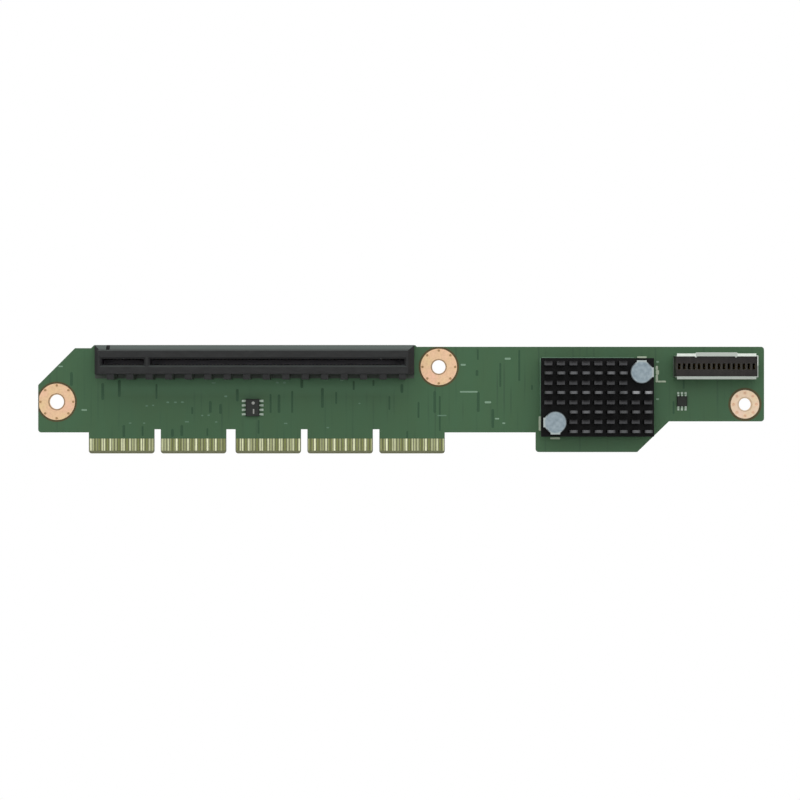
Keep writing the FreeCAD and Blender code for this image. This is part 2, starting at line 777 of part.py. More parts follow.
def make_spring(side, x, z):
    """A compression spring of square wire round the pin, from the heatsink's base to the pin's head."""
    wire = size.spring_wire.value
    inner = size.push_pin_radius.value + size.spring_play.value
    low = FIN_SEAT.value + SPRING_END_PLAY
    rise = size.spring_height.value - wire - 2 * SPRING_END_PLAY
    steps = int(size.spring_turns.value) * SPRING_STEPS_PER_TURN
    sections = []
    for step in range(steps + 1):
        height = low + rise * step / steps
        corners = [(inner, height), (inner + wire, height), (inner + wire, height + wire), (inner, height + wire)]
        section = Part.makePolygon([Vector(r, -y, 0) for r, y in corners + corners[:1]])
        section.rotate(Vector(0, 0, 0), Vector(0, 1, 0), 360 * step / SPRING_STEPS_PER_TURN)
        sections.append(section)
    feature = doc.addObject("Part::Feature", f"{side}_pin_spring")
    feature.Label = f"{side}_pin_spring"
    feature.Shape = Part.makeLoft(sections, True, True)
    feature.Placement = Placement(Vector(x.value, 0, z.value), Rotation())
    parts.append(feature)


# Cable connector


def make_cable_shell():
    """A thin metal box with a raised middle on its upper side, folded outwards at the mouth."""
    body = new_body("cable_connector_shell", size.cable_x, size.cable_z)
    side = size.cable_length / 2
    upper = size.cable_inner_width / 2 + size.shell_thickness
    rise_end = size.shell_rise_length / 2
    rise = size.shell_rise
    wall = new_sketch(body, "wall")
    add_loop(wall, [
        (-side, -upper),
        (side, -upper),
        (side, upper),
        (rise_end + rise, upper),
        (rise_end, upper + rise),
        (-rise_end, upper + rise),
        (-(rise_end + rise), upper),
        (-side, upper),
    ])
    add_box(wall, 0, 0, size.cable_length - size.shell_thickness * 2, size.cable_inner_width)
    pad(wall, size.cable_height)

    # The end walls stand back from the mouth, and the left one is only a low sill
    for name, end, setback in (
        ("right_end", side, size.shell_end_setback),
        ("left_end", -side, size.shell_open_end_setback),
    ):
        opening = new_sketch(body, name, out=size.cable_height)
        add_box(opening, end, 0, size.shell_thickness * 2, size.cable_inner_width)
        pocket(opening, setback)

    lips = new_sketch(body, "lips", out=size.cable_height - size.shell_thickness)
    lip_end = size.cable_length / 2 - size.shell_lip
    add_loop(lips, [
        (-lip_end, upper),
        (-rise_end - rise, upper),
        (-rise_end, upper + rise),
        (rise_end, upper + rise),
        (rise_end + rise, upper),
        (lip_end, upper),
        (lip_end, upper + size.shell_lip),
        (rise_end + rise, upper + size.shell_lip),
        (rise_end, upper + size.shell_lip + rise),
        (-rise_end, upper + size.shell_lip + rise),
        (-rise_end - rise, upper + size.shell_lip),
        (-lip_end, upper + size.shell_lip),
    ])
    add_box(lips, 0, -(upper + size.shell_lip / 2), lip_end * 2, size.shell_lip)
    pad(lips, size.shell_thickness)

    legs = new_sketch(body, "legs")
    for x, z in SHELL_LEGS:
        add_box(legs, x, z, size.shell_leg_width, size.shell_thickness)
    pad(legs, size.board_thickness + size.shell_leg_stand_out, reverse=True)


def make_cable_insulator():
    body = new_body("cable_connector_insulator", size.cable_x, size.cable_z)
    block_sketch = new_sketch(body, "block")
    width = size.cable_inner_width - size.insulator_clearance * 2
    add_box(block_sketch, 0, 0, INSULATOR_LENGTH, width)
    pad(block_sketch, INSULATOR_HEIGHT)
    cell = new_sketch(body, "cell", out=INSULATOR_HEIGHT)
    add_box(cell, FIRST_CELL, 0, size.cell_width, size.cell_height)
    pattern(pocket(cell, INSULATOR_HEIGHT), cell, "H_Axis", size.cell_pitch, CELL_COUNT)


def make_cable_contacts():
    """Each cell holds an upper and a lower contact that stands on the board."""
    wall = (size.cell_height / 2 - size.cable_contact_thickness / 2).value
    reach = INSULATOR_HEIGHT.value
    pitch = size.cell_pitch.value
    width = size.cable_contact_width.value
    first = (size.cable_x + FIRST_CELL).value
    middle = size.cable_z.value
    for name, side in (("cable_contacts_upper", 1), ("cable_contacts_lower", -1)):
        line = [
            (0, middle + side * wall),
            (-reach * CONTACT_BEND, middle + side * wall),
            (size.cable_contact_depth.value - reach, middle + side * wall / 2),
        ]
        contact = spring_contact(line, size.cable_contact_thickness.value, first - width / 2, width)
        solid_group(name, [contact.translated(Vector(pitch * i, 0, 0)) for i in range(int(CELL_COUNT.value))])


# Small chips


def make_chip(name, x, z, turn, chip):
    """A moulded body and a row of gull-wing leads on two sides. The leads point along the chip's own X."""
    body = new_body(f"{name}_body", x, z)
    body.Placement.Rotation = Rotation(Vector(0, 1, 0), turn)
    outline = new_sketch(body, "outline", out=size.chip_stand_off)
    add_box(outline, 0, 0, chip.length, chip.width)
    pad(outline, chip.height)
    top = -(size.chip_stand_off + chip.height).value
    dress(body, "Chamfer", "Size", size.chip_chamfer, lambda shape: edges_where(shape, lambda p: near(p.y, top)))

    leads = new_body(f"{name}_leads", x, z)
    leads.Placement.Rotation = Rotation(Vector(0, 1, 0), turn)
    first = -chip.lead_pitch * (chip.lead_count - 1) / 2 - chip.lead_width / 2
    sketch = new_sketch(leads, "lead", "XY_Plane", out=first)
    thick = size.lead_thickness
    shoulder = size.chip_stand_off + chip.height / 2
    root = chip.length / 2
    tip = chip.span / 2
    for side in (1, -1):
        add_loop(sketch, [
            (tip * side, ZERO),
            (tip * side, -thick),
            ((tip - size.lead_foot) * side, -thick),
            ((root + thick * 2) * side, -shoulder - thick),
            (root * side, -shoulder - thick),
            (root * side, -shoulder),
            ((root + thick) * side, -shoulder),
            ((tip - size.lead_foot - thick) * side, ZERO),
        ])
    pattern(pad(sketch, chip.lead_width), sketch, "N_Axis", chip.lead_pitch, chip.lead_count)


MEMORY_CHIP = SimpleNamespace(
    length=size.memory_body_length,
    width=size.memory_body_width,
    height=size.memory_body_height,
    span=size.memory_span,
    lead_count=size.memory_lead_count,
    lead_pitch=size.memory_lead_pitch,
    lead_width=size.memory_lead_width,
)
SMALL_CHIP = SimpleNamespace(
    length=size.small_chip_width,
    width=size.small_chip_length,
    height=size.small_chip_height,
    span=size.small_chip_span,
    lead_count=size.small_chip_lead_count,
    lead_pitch=size.small_chip_lead_pitch,
    lead_width=size.small_chip_lead_width,
)


def make_capacitors():
    """Decoupling capacitors on the back, behind the retimer: ceramic bodies between two metal ends."""
    first_x = -size.capacitor_column_pitch * (size.capacitor_columns - 1) / 2
    first_z = -size.capacitor_row_pitch * (size.capacitor_rows - 1) / 2
    ceramic = size.capacitor_length - size.capacitor_end * 2
    end_z = (ceramic + size.capacitor_end) / 2
    for name, pieces in (
        ("capacitor_bodies", [(ZERO, ceramic)]),
        ("capacitor_ends", [(end_z, size.capacitor_end), (-end_z, size.capacitor_end)]),
    ):
        body = new_body(name, *RETIMER)
        sketch = new_sketch(body, "outline", out=-size.board_thickness)
        for z, length in pieces:
            add_box(sketch, first_x, first_z + z, size.capacitor_width, length)
        grid(pad(sketch, size.capacitor_width, reverse=True), sketch, size.capacitor_column_pitch,
             size.capacitor_columns, size.capacitor_row_pitch, size.capacitor_rows)


# Build every piece


make_board()
make_edge_fingers()
for hole in SCREW_HOLES:
    make_screw_pads(*hole)
make_slot_housing()
make_slot_contacts()
make_square_plate("retimer_substrate", size.retimer_side, size.substrate_thickness, SUBSTRATE_SEAT)
make_square_plate("retimer_lid", size.lid_side, size.lid_thickness, LID_SEAT, size.lid_chamfer)
make_square_plate("thermal_pad", size.thermal_pad_side, size.thermal_pad_thickness, THERMAL_PAD_SEAT)
make_heatsink()
for side, x, z, turn in PUSH_PINS:
    make_push_pin(side, x, z, turn)
    make_spring(side, x, z)
make_cable_shell()
make_cable_insulator()
make_cable_contacts()
make_chip("memory_chip", -size.memory_x, -size.memory_z, 0, MEMORY_CHIP)
make_chip("small_chip", size.small_chip_x, -size.small_chip_z, 90, SMALL_CHIP)
make_capacitors()

doc.recompute()
for item in doc.Objects:
    if "Invalid" in item.State or "Error" in item.State:
        raise RuntimeError(f"{item.Label} failed: {item.State}")
for part in parts:
    if part.Shape.isNull() or not part.Shape.isValid() or not part.Shape.Solids:
        raise RuntimeError(f"{part.Label} has no valid solid")

os.makedirs("parts", exist_ok=True)
for part in parts:
    part.Shape.exportStep(f"parts/{part.Label}.step")
    box = part.Shape.BoundBox
    print(f"{part.Label}: {len(part.Shape.Solids)} solids, "
          f"{box.XLength:.2f} x {box.YLength:.2f} x {box.ZLength:.2f}, {part.Shape.Volume:.2f} mm3")
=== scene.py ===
# %% [markdown]
# A riser card is a circuit board that stands upright in a flat computer and turns an expansion card
# on its side. This lesson dresses its CAD solids in Blender. The solids come in as a fixed frame, in
# metres, so every piece made here is placed from their measured boxes. The origin is the middle screw
# hole on the component face: X runs along the card, Z points up, and -Y points out of that face.

# %% Load the solids
import json
import math

import bmesh
import bpy
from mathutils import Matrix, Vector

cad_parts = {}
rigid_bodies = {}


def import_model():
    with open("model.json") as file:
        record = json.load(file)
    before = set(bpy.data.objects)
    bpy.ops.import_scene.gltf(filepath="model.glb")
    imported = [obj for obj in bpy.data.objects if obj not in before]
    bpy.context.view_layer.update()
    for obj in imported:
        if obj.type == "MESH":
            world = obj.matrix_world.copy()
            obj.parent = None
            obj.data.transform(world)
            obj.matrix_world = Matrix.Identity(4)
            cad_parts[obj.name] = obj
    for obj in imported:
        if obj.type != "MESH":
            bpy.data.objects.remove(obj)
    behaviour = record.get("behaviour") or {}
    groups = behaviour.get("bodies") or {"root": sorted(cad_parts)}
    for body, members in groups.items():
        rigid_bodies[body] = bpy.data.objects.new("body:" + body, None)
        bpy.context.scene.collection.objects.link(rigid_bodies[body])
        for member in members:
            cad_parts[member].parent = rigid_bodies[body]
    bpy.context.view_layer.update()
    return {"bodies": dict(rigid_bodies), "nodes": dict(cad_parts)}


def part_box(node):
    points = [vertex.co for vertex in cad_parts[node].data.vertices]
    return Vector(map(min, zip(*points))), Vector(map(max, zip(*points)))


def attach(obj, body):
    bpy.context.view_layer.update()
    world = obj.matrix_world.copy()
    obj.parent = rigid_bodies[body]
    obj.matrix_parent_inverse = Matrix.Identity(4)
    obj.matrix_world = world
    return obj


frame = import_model()
MM = 0.001
print("nodes:", len(frame["nodes"]))

# %% [markdown]
# The photograph was taken straight on, from about a metre away, with a long lens. Blender's own
# camera gives the same picture from a location, a rotation and a focal length. The card's face fills
# 228 mm across the frame, and the lens follows from that by similar triangles. The same numbers turn
# a place in the photograph into a place on the card's face, which the small printed marks need.

# %% Camera
CAMERA_DISTANCE = 1.0
FRAME_WIDTH = 0.22825
PHOTO_SIDE = 800
PIXEL = FRAME_WIDTH / PHOTO_SIDE / MM
VIEW_X, VIEW_Z = -11.07 * MM, -9.44 * MM

camera_data = bpy.data.cameras.new("camera")
camera_data.sensor_width = 36
camera_data.lens = camera_data.sensor_width * CAMERA_DISTANCE / FRAME_WIDTH
camera_data.clip_end = 20
camera = bpy.data.objects.new("camera", camera_data)
camera.location = (VIEW_X, -CAMERA_DISTANCE, VIEW_Z)
camera.rotation_euler = (math.radians(90), 0, 0)
bpy.context.scene.collection.objects.link(camera)
bpy.context.scene.camera = camera


def on_face(column, row):
    """The place in millimetres on the card's face that the photograph shows at a column and a row."""
    half = PHOTO_SIDE / 2
    return (column - half) * PIXEL + VIEW_X / MM, (half - row) * PIXEL + VIEW_Z / MM


print("lens in mm:", round(camera_data.lens, 1), "and a pixel on the face:", round(PIXEL, 3))

# %% [markdown]
# Light and finishes are built from nodes. Each node is added by one small function, which sets the
# node's properties by name and fills its open sockets in order, or by name where that is clearer. A
# Map Range node, for one, takes a value, the two ends of its range, and what these two turn into.
# Colours are written as in a paint program, and one function turns them into Blender's linear values.

# %% Helpers for nodes
scene = bpy.context.scene
scene.view_settings.view_transform = "Standard"


def colour(text):
    """A colour such as 'AABBCC' in linear values."""
    channels = []
    for start in (0, 2, 4):
        value = int(text[start:start + 2], 16) / 255
        channels.append(value / 12.92 if value <= 0.04045 else ((value + 0.055) / 1.055) ** 2.4)
    return (*channels, 1)


def join(given, socket):
    """Puts a number or a hex colour into a socket, or links it to a node or to one of its outputs."""
    if isinstance(given, bpy.types.Node):
        given = next(output for output in given.outputs if output.enabled)
    if isinstance(given, bpy.types.NodeSocket):
        socket.id_data.links.new(given, socket)
    else:
        socket.default_value = colour(given) if isinstance(given, str) else given


def add(tree, kind, *inputs, **settings):
    """Adds one node with its settings and links. Inputs go to its open sockets in order."""
    node = tree.nodes.new("ShaderNode" + kind)
    for name, value in settings.items():
        if name not in node.inputs:
            setattr(node, name, value)
    for socket, given in zip([s for s in node.inputs if s.enabled], inputs):
        join(given, socket)
    for name, given in settings.items():
        if name in node.inputs:
            join(given, node.inputs[name])
    return node


print("middle grey in linear values:", round(colour("808080")[0], 3))

# %% [markdown]
# A product picture has soft light from everywhere, more of it from the front and from above, and less
# from the sides and from below. Lamps alone would throw hard shadows, so the world gives this light:
# its strength follows the direction it comes from. The extra light from the front is kept from
# mirror-like rays, or bare metal would burn out. The world shows plain white to the camera.

# %% Light from all round
LEVEL_BELOW, LEVEL_ABOVE, LEVEL_BESIDE = 0.9, 1.05, 0.5
FRONT_GAIN, MIRROR_GAIN = 3.5, 1.09
world = bpy.data.worlds.new("studio")
world.use_nodes = True
scene.world = world
tree = world.node_tree
tree.nodes.clear()
# A direction's parts run from -1 to 1: Z is 1 straight up and Y is -1 towards the camera.
axes = add(tree, "SeparateXYZ", add(tree, "TexCoord").outputs["Generated"])
height = add(tree, "MapRange", axes.outputs["Z"], -0.6, 0.8, LEVEL_BELOW, LEVEL_ABOVE)
sideways = add(tree, "Math", axes.outputs["X"], operation="ABSOLUTE")
beside = add(tree, "MapRange", sideways, 0.45, 0.95, 1, LEVEL_BESIDE)
front = add(tree, "MapRange", axes.outputs["Y"], -0.68, -0.97, 1, FRONT_GAIN)
level = add(tree, "Math", height, beside, operation="MULTIPLY")
fuller = add(tree, "Math", level, front, operation="MULTIPLY")
metal_level = add(tree, "Math", level, MIRROR_GAIN, operation="MULTIPLY")
lit = add(tree, "Background", "FFFFFF", fuller)
mirrored = add(tree, "Background", "FFFFFF", metal_level)
white = add(tree, "Background", "FFFFFF", 1)
rays = add(tree, "LightPath")
around = add(tree, "MixShader", rays.outputs["Is Glossy Ray"], lit, mirrored)
seen = add(tree, "MixShader", rays.outputs["Is Camera Ray"], around, white)
add(tree, "OutputWorld", seen)
print("nodes of the world:", len(tree.nodes))

# %% [markdown]
# One wide area lamp overhead adds the bright upper edges. It is long, as the card is, and narrow, so
# that its shadows stay soft along the card and the front face gets little of it. Mirror-like rays
# don't see it, because bare metal would show it as a white bar.

# %% Lamp overhead
lamp_data = bpy.data.lights.new("overhead_softbox", "AREA")
lamp_data.shape = "RECTANGLE"
lamp_data.size, lamp_data.size_y = 0.7, 0.12
lamp_data.energy = 3.5
lamp = bpy.data.objects.new("overhead_softbox", lamp_data)
lamp.location = (VIEW_X, -0.04, 0.5)
lamp.visible_glossy = False
scene.collection.objects.link(lamp)
print("lamp watts:", lamp_data.energy)

# %% [markdown]
# The floor is a plain pale sheet well below the card. Near the card it takes the light and keeps the
# card's shadow. Further out it turns into plain white for the camera, so that no horizon shows. The
# change follows the distance from the card along the floor, and so it stays put in every view. A
# white floor would also light the card from below, which flattens it, so a photographer lays a grey
# card under the product. Here the floor is grey to every ray that doesn't come from the camera. Its
# finish is the first one here: a Principled shader with plain values, some of them replaced by nodes.

# %% Floor
FLOOR_BELOW = 0.16
floor_mesh = bpy.data.meshes.new("floor")
shape = bmesh.new()
bmesh.ops.create_grid(shape, x_segments=2, y_segments=2, size=6)
shape.to_mesh(floor_mesh)
shape.free()
floor = bpy.data.objects.new("floor", floor_mesh)
floor.location = (VIEW_X, 0, -FLOOR_BELOW)
scene.collection.objects.link(floor)


def new_finish(name, hex_colour, metallic=0.0, roughness=0.5, ior=1.5, specular=0.5):
    """A material with its shader's plain values set. A metal keeps the shader's own index."""
    material = bpy.data.materials.new(name)
    material.use_nodes = True
    shader = material.node_tree.nodes["Principled BSDF"]
    shader.inputs["Base Color"].default_value = colour(hex_colour)
    shader.inputs["Metallic"].default_value = metallic
    shader.inputs["Roughness"].default_value = roughness
    if metallic < 0.5:
        shader.inputs["IOR"].default_value = ior
        shader.inputs["Specular IOR Level"].default_value = specular
    return material, material.node_tree, shader


# Uncoated paper scatters light evenly and hardly shines.
paper, tree, shader = new_finish("floor_paper", "F6F6F5", roughness=0.9, specular=0.1)
reach = add(tree, "VectorMath", add(tree, "TexCoord").outputs["Object"], operation="LENGTH")
fade = add(tree, "MapRange", reach, 0.16, 0.3)
rays = add(tree, "LightPath")
far_white = add(tree, "Math", fade, rays.outputs["Is Camera Ray"], operation="MULTIPLY")
sheet = add(tree, "MixShader", far_white, shader, add(tree, "Emission", "FFFFFF", 1))
grey_card = add(tree, "BsdfDiffuse", "B8B8B8")
surface = add(tree, "MixShader", rays.outputs["Is Camera Ray"], grey_card, sheet)
join(surface, tree.nodes["Material Output"].inputs["Surface"])
floor_mesh.materials.append(paper)
print("floor is", round(-floor.location.z / MM), "mm below the middle screw hole")

# %% [markdown]
# Every finish below uses the object's own coordinates, turned into millimetres, so that each pattern
# can be given its real size: a noise of scale 2 has patches of about half a millimetre. A colour is
# built like paint, from a base and coats that are laid on through masks. A mask is mostly a box of
# space, such as the slot's channel, or a range of the surface's own direction, such as its bevels. So
# one material serves a whole moulding, with no texture to unwrap.

# %% Helpers for finishes
FAR = 1000


def box_mm(node):
    """A node's lowest and highest corners in millimetres."""
    low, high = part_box(node)
    return [v / MM for v in low], [v / MM for v in high]


def millimetres(tree, stretch=(1, 1, 1)):
    """The object's coordinates in millimetres. A stretch below 1 draws a pattern out along that axis."""
    place = add(tree, "TexCoord")
    return add(tree, "VectorMath", place.outputs["Object"], [s / MM for s in stretch], operation="MULTIPLY")


def surface_of(tree):
    """A point's place in millimetres, that place split by axis, and the way the surface faces, too."""
    where, normal = millimetres(tree), add(tree, "NewGeometry").outputs["Normal"]
    return where, add(tree, "SeparateXYZ", where), add(tree, "SeparateXYZ", normal)


def noise(tree, where, per_mm, detail=3.0, low=0.0, high=1.0):
    """Soft random patches, with their usual range of values spread out from low to high."""
    cloud = add(tree, "TexNoise", where, Scale=per_mm, Detail=detail)
    return add(tree, "MapRange", cloud, 0.3, 0.7, low, high)


def layers(tree, base, *coats):
    """A base colour with coats laid over it in turn. A coat is its mask, from 0 to 1, and its colour."""
    for mask, tone in coats:
        base = add(tree, "Mix", mask, base, tone, data_type="RGBA")
    return base


def paint(tree, shader, base, *coats):
    """Gives the shader its colour, a base and its coats."""
    join(layers(tree, base, *coats), shader.inputs["Base Color"])


def inside(tree, axes, mask=1.0, **spans):
    """Keeps a mask inside a box and clears it outside. A span is the low and high end along an axis."""
    for axis, (low, high) in spans.items():
        between = add(tree, "Math", axes.outputs[axis], (low + high) / 2, (high - low) / 2,
                      operation="COMPARE")
        mask = add(tree, "Math", mask, between, operation="MULTIPLY")
    return mask


def roughen(tree, shader, where, per_mm, depth_mm, strength=0.5, detail=3.0):
    """Raises the surface in small patches, as high as depth_mm."""
    height = noise(tree, where, per_mm, detail)
    bump = add(tree, "Bump", Height=height, Distance=depth_mm * MM, Strength=strength)
    join(bump, shader.inputs["Normal"])


def mottled(name, plain, dark, light, per_mm, grain=None, stretch=(1, 1, 1), detail=3.0, **values):
    """A finish of two tones in soft patches. Grain is the scale, depth and strength of its relief."""
    material, tree, shader = new_finish(name, plain, **values)
    where = millimetres(tree, stretch)
    patches = noise(tree, where, per_mm, detail)
    paint(tree, shader, dark, (patches, light))
    if grain:
        roughen(tree, shader, where, *grain)
    return material


print("board from and to, in mm:", *box_mm("circuit_board"))

# %% [markdown]
# The board is glass cloth set in epoxy, with a printed green solder mask over its copper. From a step
# away the mask looks plain; closer, the copper planes beneath show as slightly lighter patches, the
# glass cloth as a faint grid, and the mask has a fine orange peel. On the cut edges, and between the
# gold fingers, there is no mask, and the bare olive laminate shows. The shader tells these places
# apart by the surface's own direction and by height, so one material serves the whole board.

# %% Solder mask and laminate
FINGER_LOW, FINGER_HIGH = box_mm("edge_fingers_front")
SLOT_LOW, SLOT_HIGH = box_mm("slot_housing")
MASK_END = FINGER_HIGH[2]

# Lacquer over copper: smooth and half matt, with one dull highlight.
solder_mask, tree, shader = new_finish("green_solder_mask_on_laminate", "37583D", roughness=0.45,
                                       ior=1.52, specular=0.25)
where, axes, facing = surface_of(tree)
planes = noise(tree, millimetres(tree, (0.5, 1, 0.16)), 0.35, detail=2)

# A wave of scale 0.55 repeats every 0.57 mm, as the threads of common glass cloth do.
threads_x = add(tree, "TexWave", where, Scale=0.55, Distortion=0.4, bands_direction="X")
threads_z = add(tree, "TexWave", where, Scale=0.55, Distortion=0.4, bands_direction="Z")
cloth = add(tree, "Math", threads_x.outputs["Fac"], threads_z.outputs["Fac"], operation="MULTIPLY")
cloth = add(tree, "Math", cloth, 0.35, operation="MULTIPLY")

# Bundles of tracks run up and down, about two millimetres apart, and come and go.
bundles = add(tree, "TexWave", where, Scale=0.16, Distortion=0.6, bands_direction="X")
crests = add(tree, "Math", bundles.outputs["Fac"], 0.86, operation="GREATER_THAN")
routed = noise(tree, millimetres(tree, (0.6, 1, 0.12)), 0.5, detail=1, low=-0.5, high=0.5)
routed = add(tree, "Math", routed, 0, operation="MAXIMUM")
under = add(tree, "Math", crests, routed, operation="MULTIPLY")

# Painted light: a band below the card slot, fading out at three of its sides, lifts the slot's shadow.
SHADOW_LIFT_TOP = -2
shadow_lift = inside(tree, axes, Z=(-FAR, SHADOW_LIFT_TOP))
for axis, start, full in (("Z", -8.5, -6), ("X", SLOT_HIGH[0] + 1, SLOT_HIGH[0] - 7),
                          ("X", SLOT_LOW[0] - 1, SLOT_LOW[0] + 7)):
    fade = add(tree, "MapRange", axes.outputs[axis], start, full)
    shadow_lift = add(tree, "Math", shadow_lift, fade, operation="MULTIPLY")
mask = layers(tree, "375738", (planes, "36593B"), (cloth, "314E35"), (under, "2A4531"), (shadow_lift, "406446"))

# The cut edge shows the plies of the laminate, a quarter of a millimetre each.
plies = add(tree, "TexWave", where, Scale=1.25, Distortion=1.5, bands_direction="Y")
laminate = layers(tree, "575A42", (plies.outputs["Fac"], "717257"), (noise(tree, where, 2.5), "61634B"))
on_edge = inside(tree, facing, Y=(-0.8, 0.8))
among_fingers = inside(tree, axes, X=(-FAR, FINGER_HIGH[0] + 1), Z=(-FAR, MASK_END))
bare = add(tree, "Math", on_edge, among_fingers, operation="MAXIMUM")
paint(tree, shader, mask, (bare, laminate))
roughen(tree, shader, where, 4, 0.01, detail=2)
print("mask ends at z =", round(MASK_END, 2), "mm")

# %% [markdown]
# The edge fingers are hard gold over nickel, wiped by plugging in: a pale greenish gold with fine
# upright scratches. They are alike, yet in the photograph only every third or fourth one flashes,
# because the picture's own grid beats against their pitch. Two waves along the row, 2.84 and 1.83 mm
# long, were fitted to that beat and give each finger its share. They turn on from tab to tab, and the
# last tab is out of step. Real fingers would need only one tone.

# %% Gold of the edge fingers
finger_gold, tree, shader = new_finish("hard_gold_plate", "B5B47A", metallic=1, roughness=0.34)
axes = add(tree, "SeparateXYZ", millimetres(tree))
TAB_PITCH = 20.73
BEATS = ((2.84, 107, 52, -128), (1.83, 74, -18, 0))
along = add(tree, "Math", axes.outputs["X"], FINGER_LOW[0], operation="SUBTRACT")
tab = add(tree, "Math", add(tree, "Math", along, TAB_PITCH, operation="DIVIDE"), operation="FLOOR")
into_tab = add(tree, "Math", tab, -TAB_PITCH, along, operation="MULTIPLY_ADD")
last_tab = add(tree, "Math", tab, 3.5, operation="GREATER_THAN")
beat = 0
for length, phase, turn, last_turn in BEATS:
    angle = add(tree, "Math", into_tab, 2 * math.pi / length, math.radians(-phase),
                operation="MULTIPLY_ADD")
    for tabs, degrees in ((tab, turn), (last_tab, last_turn)):
        angle = add(tree, "Math", tabs, math.radians(-degrees), angle, operation="MULTIPLY_ADD")
    wave = add(tree, "Math", angle, operation="COSINE")
    beat = add(tree, "Math", beat, wave, operation="ADD")
# The bright tone laid on through this beat is a painted highlight.
flash = add(tree, "MapRange", beat, -0.5, 1.5)
upright = millimetres(tree, (1, 1, 0.1))
scratches = add(tree, "Math", noise(tree, upright, 9), 0.35, operation="MULTIPLY")
paint(tree, shader, "7C8454", (flash, "FBFFD6"), (scratches, "A5A46C"))
roughen(tree, shader, upright, 9, 0.004, 0.4)
print("fingers:", finger_gold.name)

# %% [markdown]
# The screw pads are copper with a thin matt finish, which scatters the metal's pink glow and leaves
# it mottled. The right pad looks paler, as under more lacquer. The two finishes differ only in their
# tones, so one loop makes both. The rims of the screw holes are painted darker, as painted shade at
# the holes' edges, least at the card's right end.

# %% Copper of the screw pads
pad_finishes = []
for name, plain, per_mm, yellow, pink, lacquer in (
        ("matt_finish_on_copper", "F5D2AC", 0.22, "F3D6A6", "FBCDB1", "E4BC96"),
        ("thicker_matt_finish_on_copper", "F4DFC8", 0.25, "F3DCB8", "F8DAC6", "E6CBAE")):
    finish, tree, shader = new_finish(name, plain, metallic=1, roughness=0.42)
    where = millimetres(tree)
    stain = noise(tree, where, per_mm, detail=1)
    spots = noise(tree, where, 1.6, detail=4, low=-0.2, high=0.6)
    paint(tree, shader, yellow, (stain, pink), (spots, lacquer))
    roughen(tree, shader, where, 6, 0.004)
    pad_finishes.append(finish)
pad_copper, pale_copper = pad_finishes

# Painted shade: the rims are darker than the pads, least at the card's right end.
shaded_hole_rim_copper, tree, shader = new_finish("copper_with_painted_edge_shade", "B39878", metallic=1, roughness=0.5)
where = millimetres(tree)
at_right_end = inside(tree, add(tree, "SeparateXYZ", where), X=(40, FAR))
paint(tree, shader, "9B7C5E", (noise(tree, where, 3), "C4A888"), (at_right_end, "DDC6A8"))
print("pads:", pad_copper.name, pale_copper.name, shaded_hole_rim_copper.name)

# %% [markdown]
# Spring contacts are bronze, with gold only where they touch. In the cable connector that end faces
# the viewer and looks warm; in the card slot the bare sides do, and they look brown and dull.

# %% Bronze of the spring contacts
contact_gold = mottled("selective_gold_on_spring_bronze", "C9A45C", "B98F4A", "D6B36C", 1.2,
                       metallic=1, roughness=0.35)
bare_bronze = mottled("bare_side_of_spring_bronze", "5A4C36", "51442F", "665740", 1.2,
                      metallic=1, roughness=0.45)
print("contacts:", contact_gold.name, bare_bronze.name)

# %% [markdown]
# The card slot is moulded in glass-filled thermoplastic, which gives a dull black with a fine,
# slightly streaky grain along the flow of the melt. Its upward bevels carry a painted highlight, which
# is weaker lower down as painted shade, the inside of its channel is painted lighter as glare, and the
# ribs' sides and the rim at its foot are painted lighter and greener, as light in the shade there. The
# cable connector's insulator is a liquid crystal polymer, which is a warmer, slightly brown black. Its
# slits are painted a light brass tone, as painted light and glints of the bronze contacts inside, and
# the band of the slits is painted a little lighter, as a painted highlight.

# %% Moulded housings
# The glass fibres are a third of a millimetre long. Their streaks are drawn about twice as coarse.
slot_plastic, tree, shader = new_finish("glass_filled_black_moulding", "202121", roughness=0.55,
                                        specular=0.25)
where, axes, facing = surface_of(tree)
streaks = noise(tree, millimetres(tree, (0.25, 1, 1)), 1.4, detail=5)
BEVEL_START, BEVEL_END, FOOT_HEIGHT = 4.9, 5.25, 1.48
# Painted highlight on the upward bevels, weaker low down as painted shade.
bevel_light_by_height = add(tree, "MapRange", axes.outputs["Z"], BEVEL_START, BEVEL_END, 0.38)
bevel_highlight = inside(tree, facing, bevel_light_by_height, Z=(0.3, 0.93))
CHANNEL_Z, CHANNEL_HALF = (SLOT_LOW[2] + SLOT_HIGH[2]) / 2, 1.6
# Painted glare: the inside of the channel is painted lighter.
channel_glare = inside(tree, axes, X=(SLOT_LOW[0] + 2.5, SLOT_HIGH[0] - 2.5), Y=(SLOT_LOW[1] + 0.7, 0.1),
                    Z=(CHANNEL_Z - CHANNEL_HALF, CHANNEL_Z + CHANNEL_HALF))
# Painted fill light: the ribs' sides and the rim at the foot are lighter and greener.
sideways = add(tree, "Math", facing.outputs["X"], operation="ABSOLUTE")
rib_sides = add(tree, "Math", sideways, 0.7, operation="GREATER_THAN")
foot_fill_light = add(tree, "Math", rib_sides, inside(tree, axes, Y=(-0.35, FAR)), operation="MAXIMUM")
foot_fill_light = inside(tree, axes, foot_fill_light, Z=(-FAR, SLOT_LOW[2] + FOOT_HEIGHT))
paint(tree, shader, "1E1F1F", (streaks, "252626"), (bevel_highlight, "3C4340"), (channel_glare, "49474C"),
      (foot_fill_light, "3F463F"))
roughen(tree, shader, where, 7, 0.012, 0.6, detail=4)

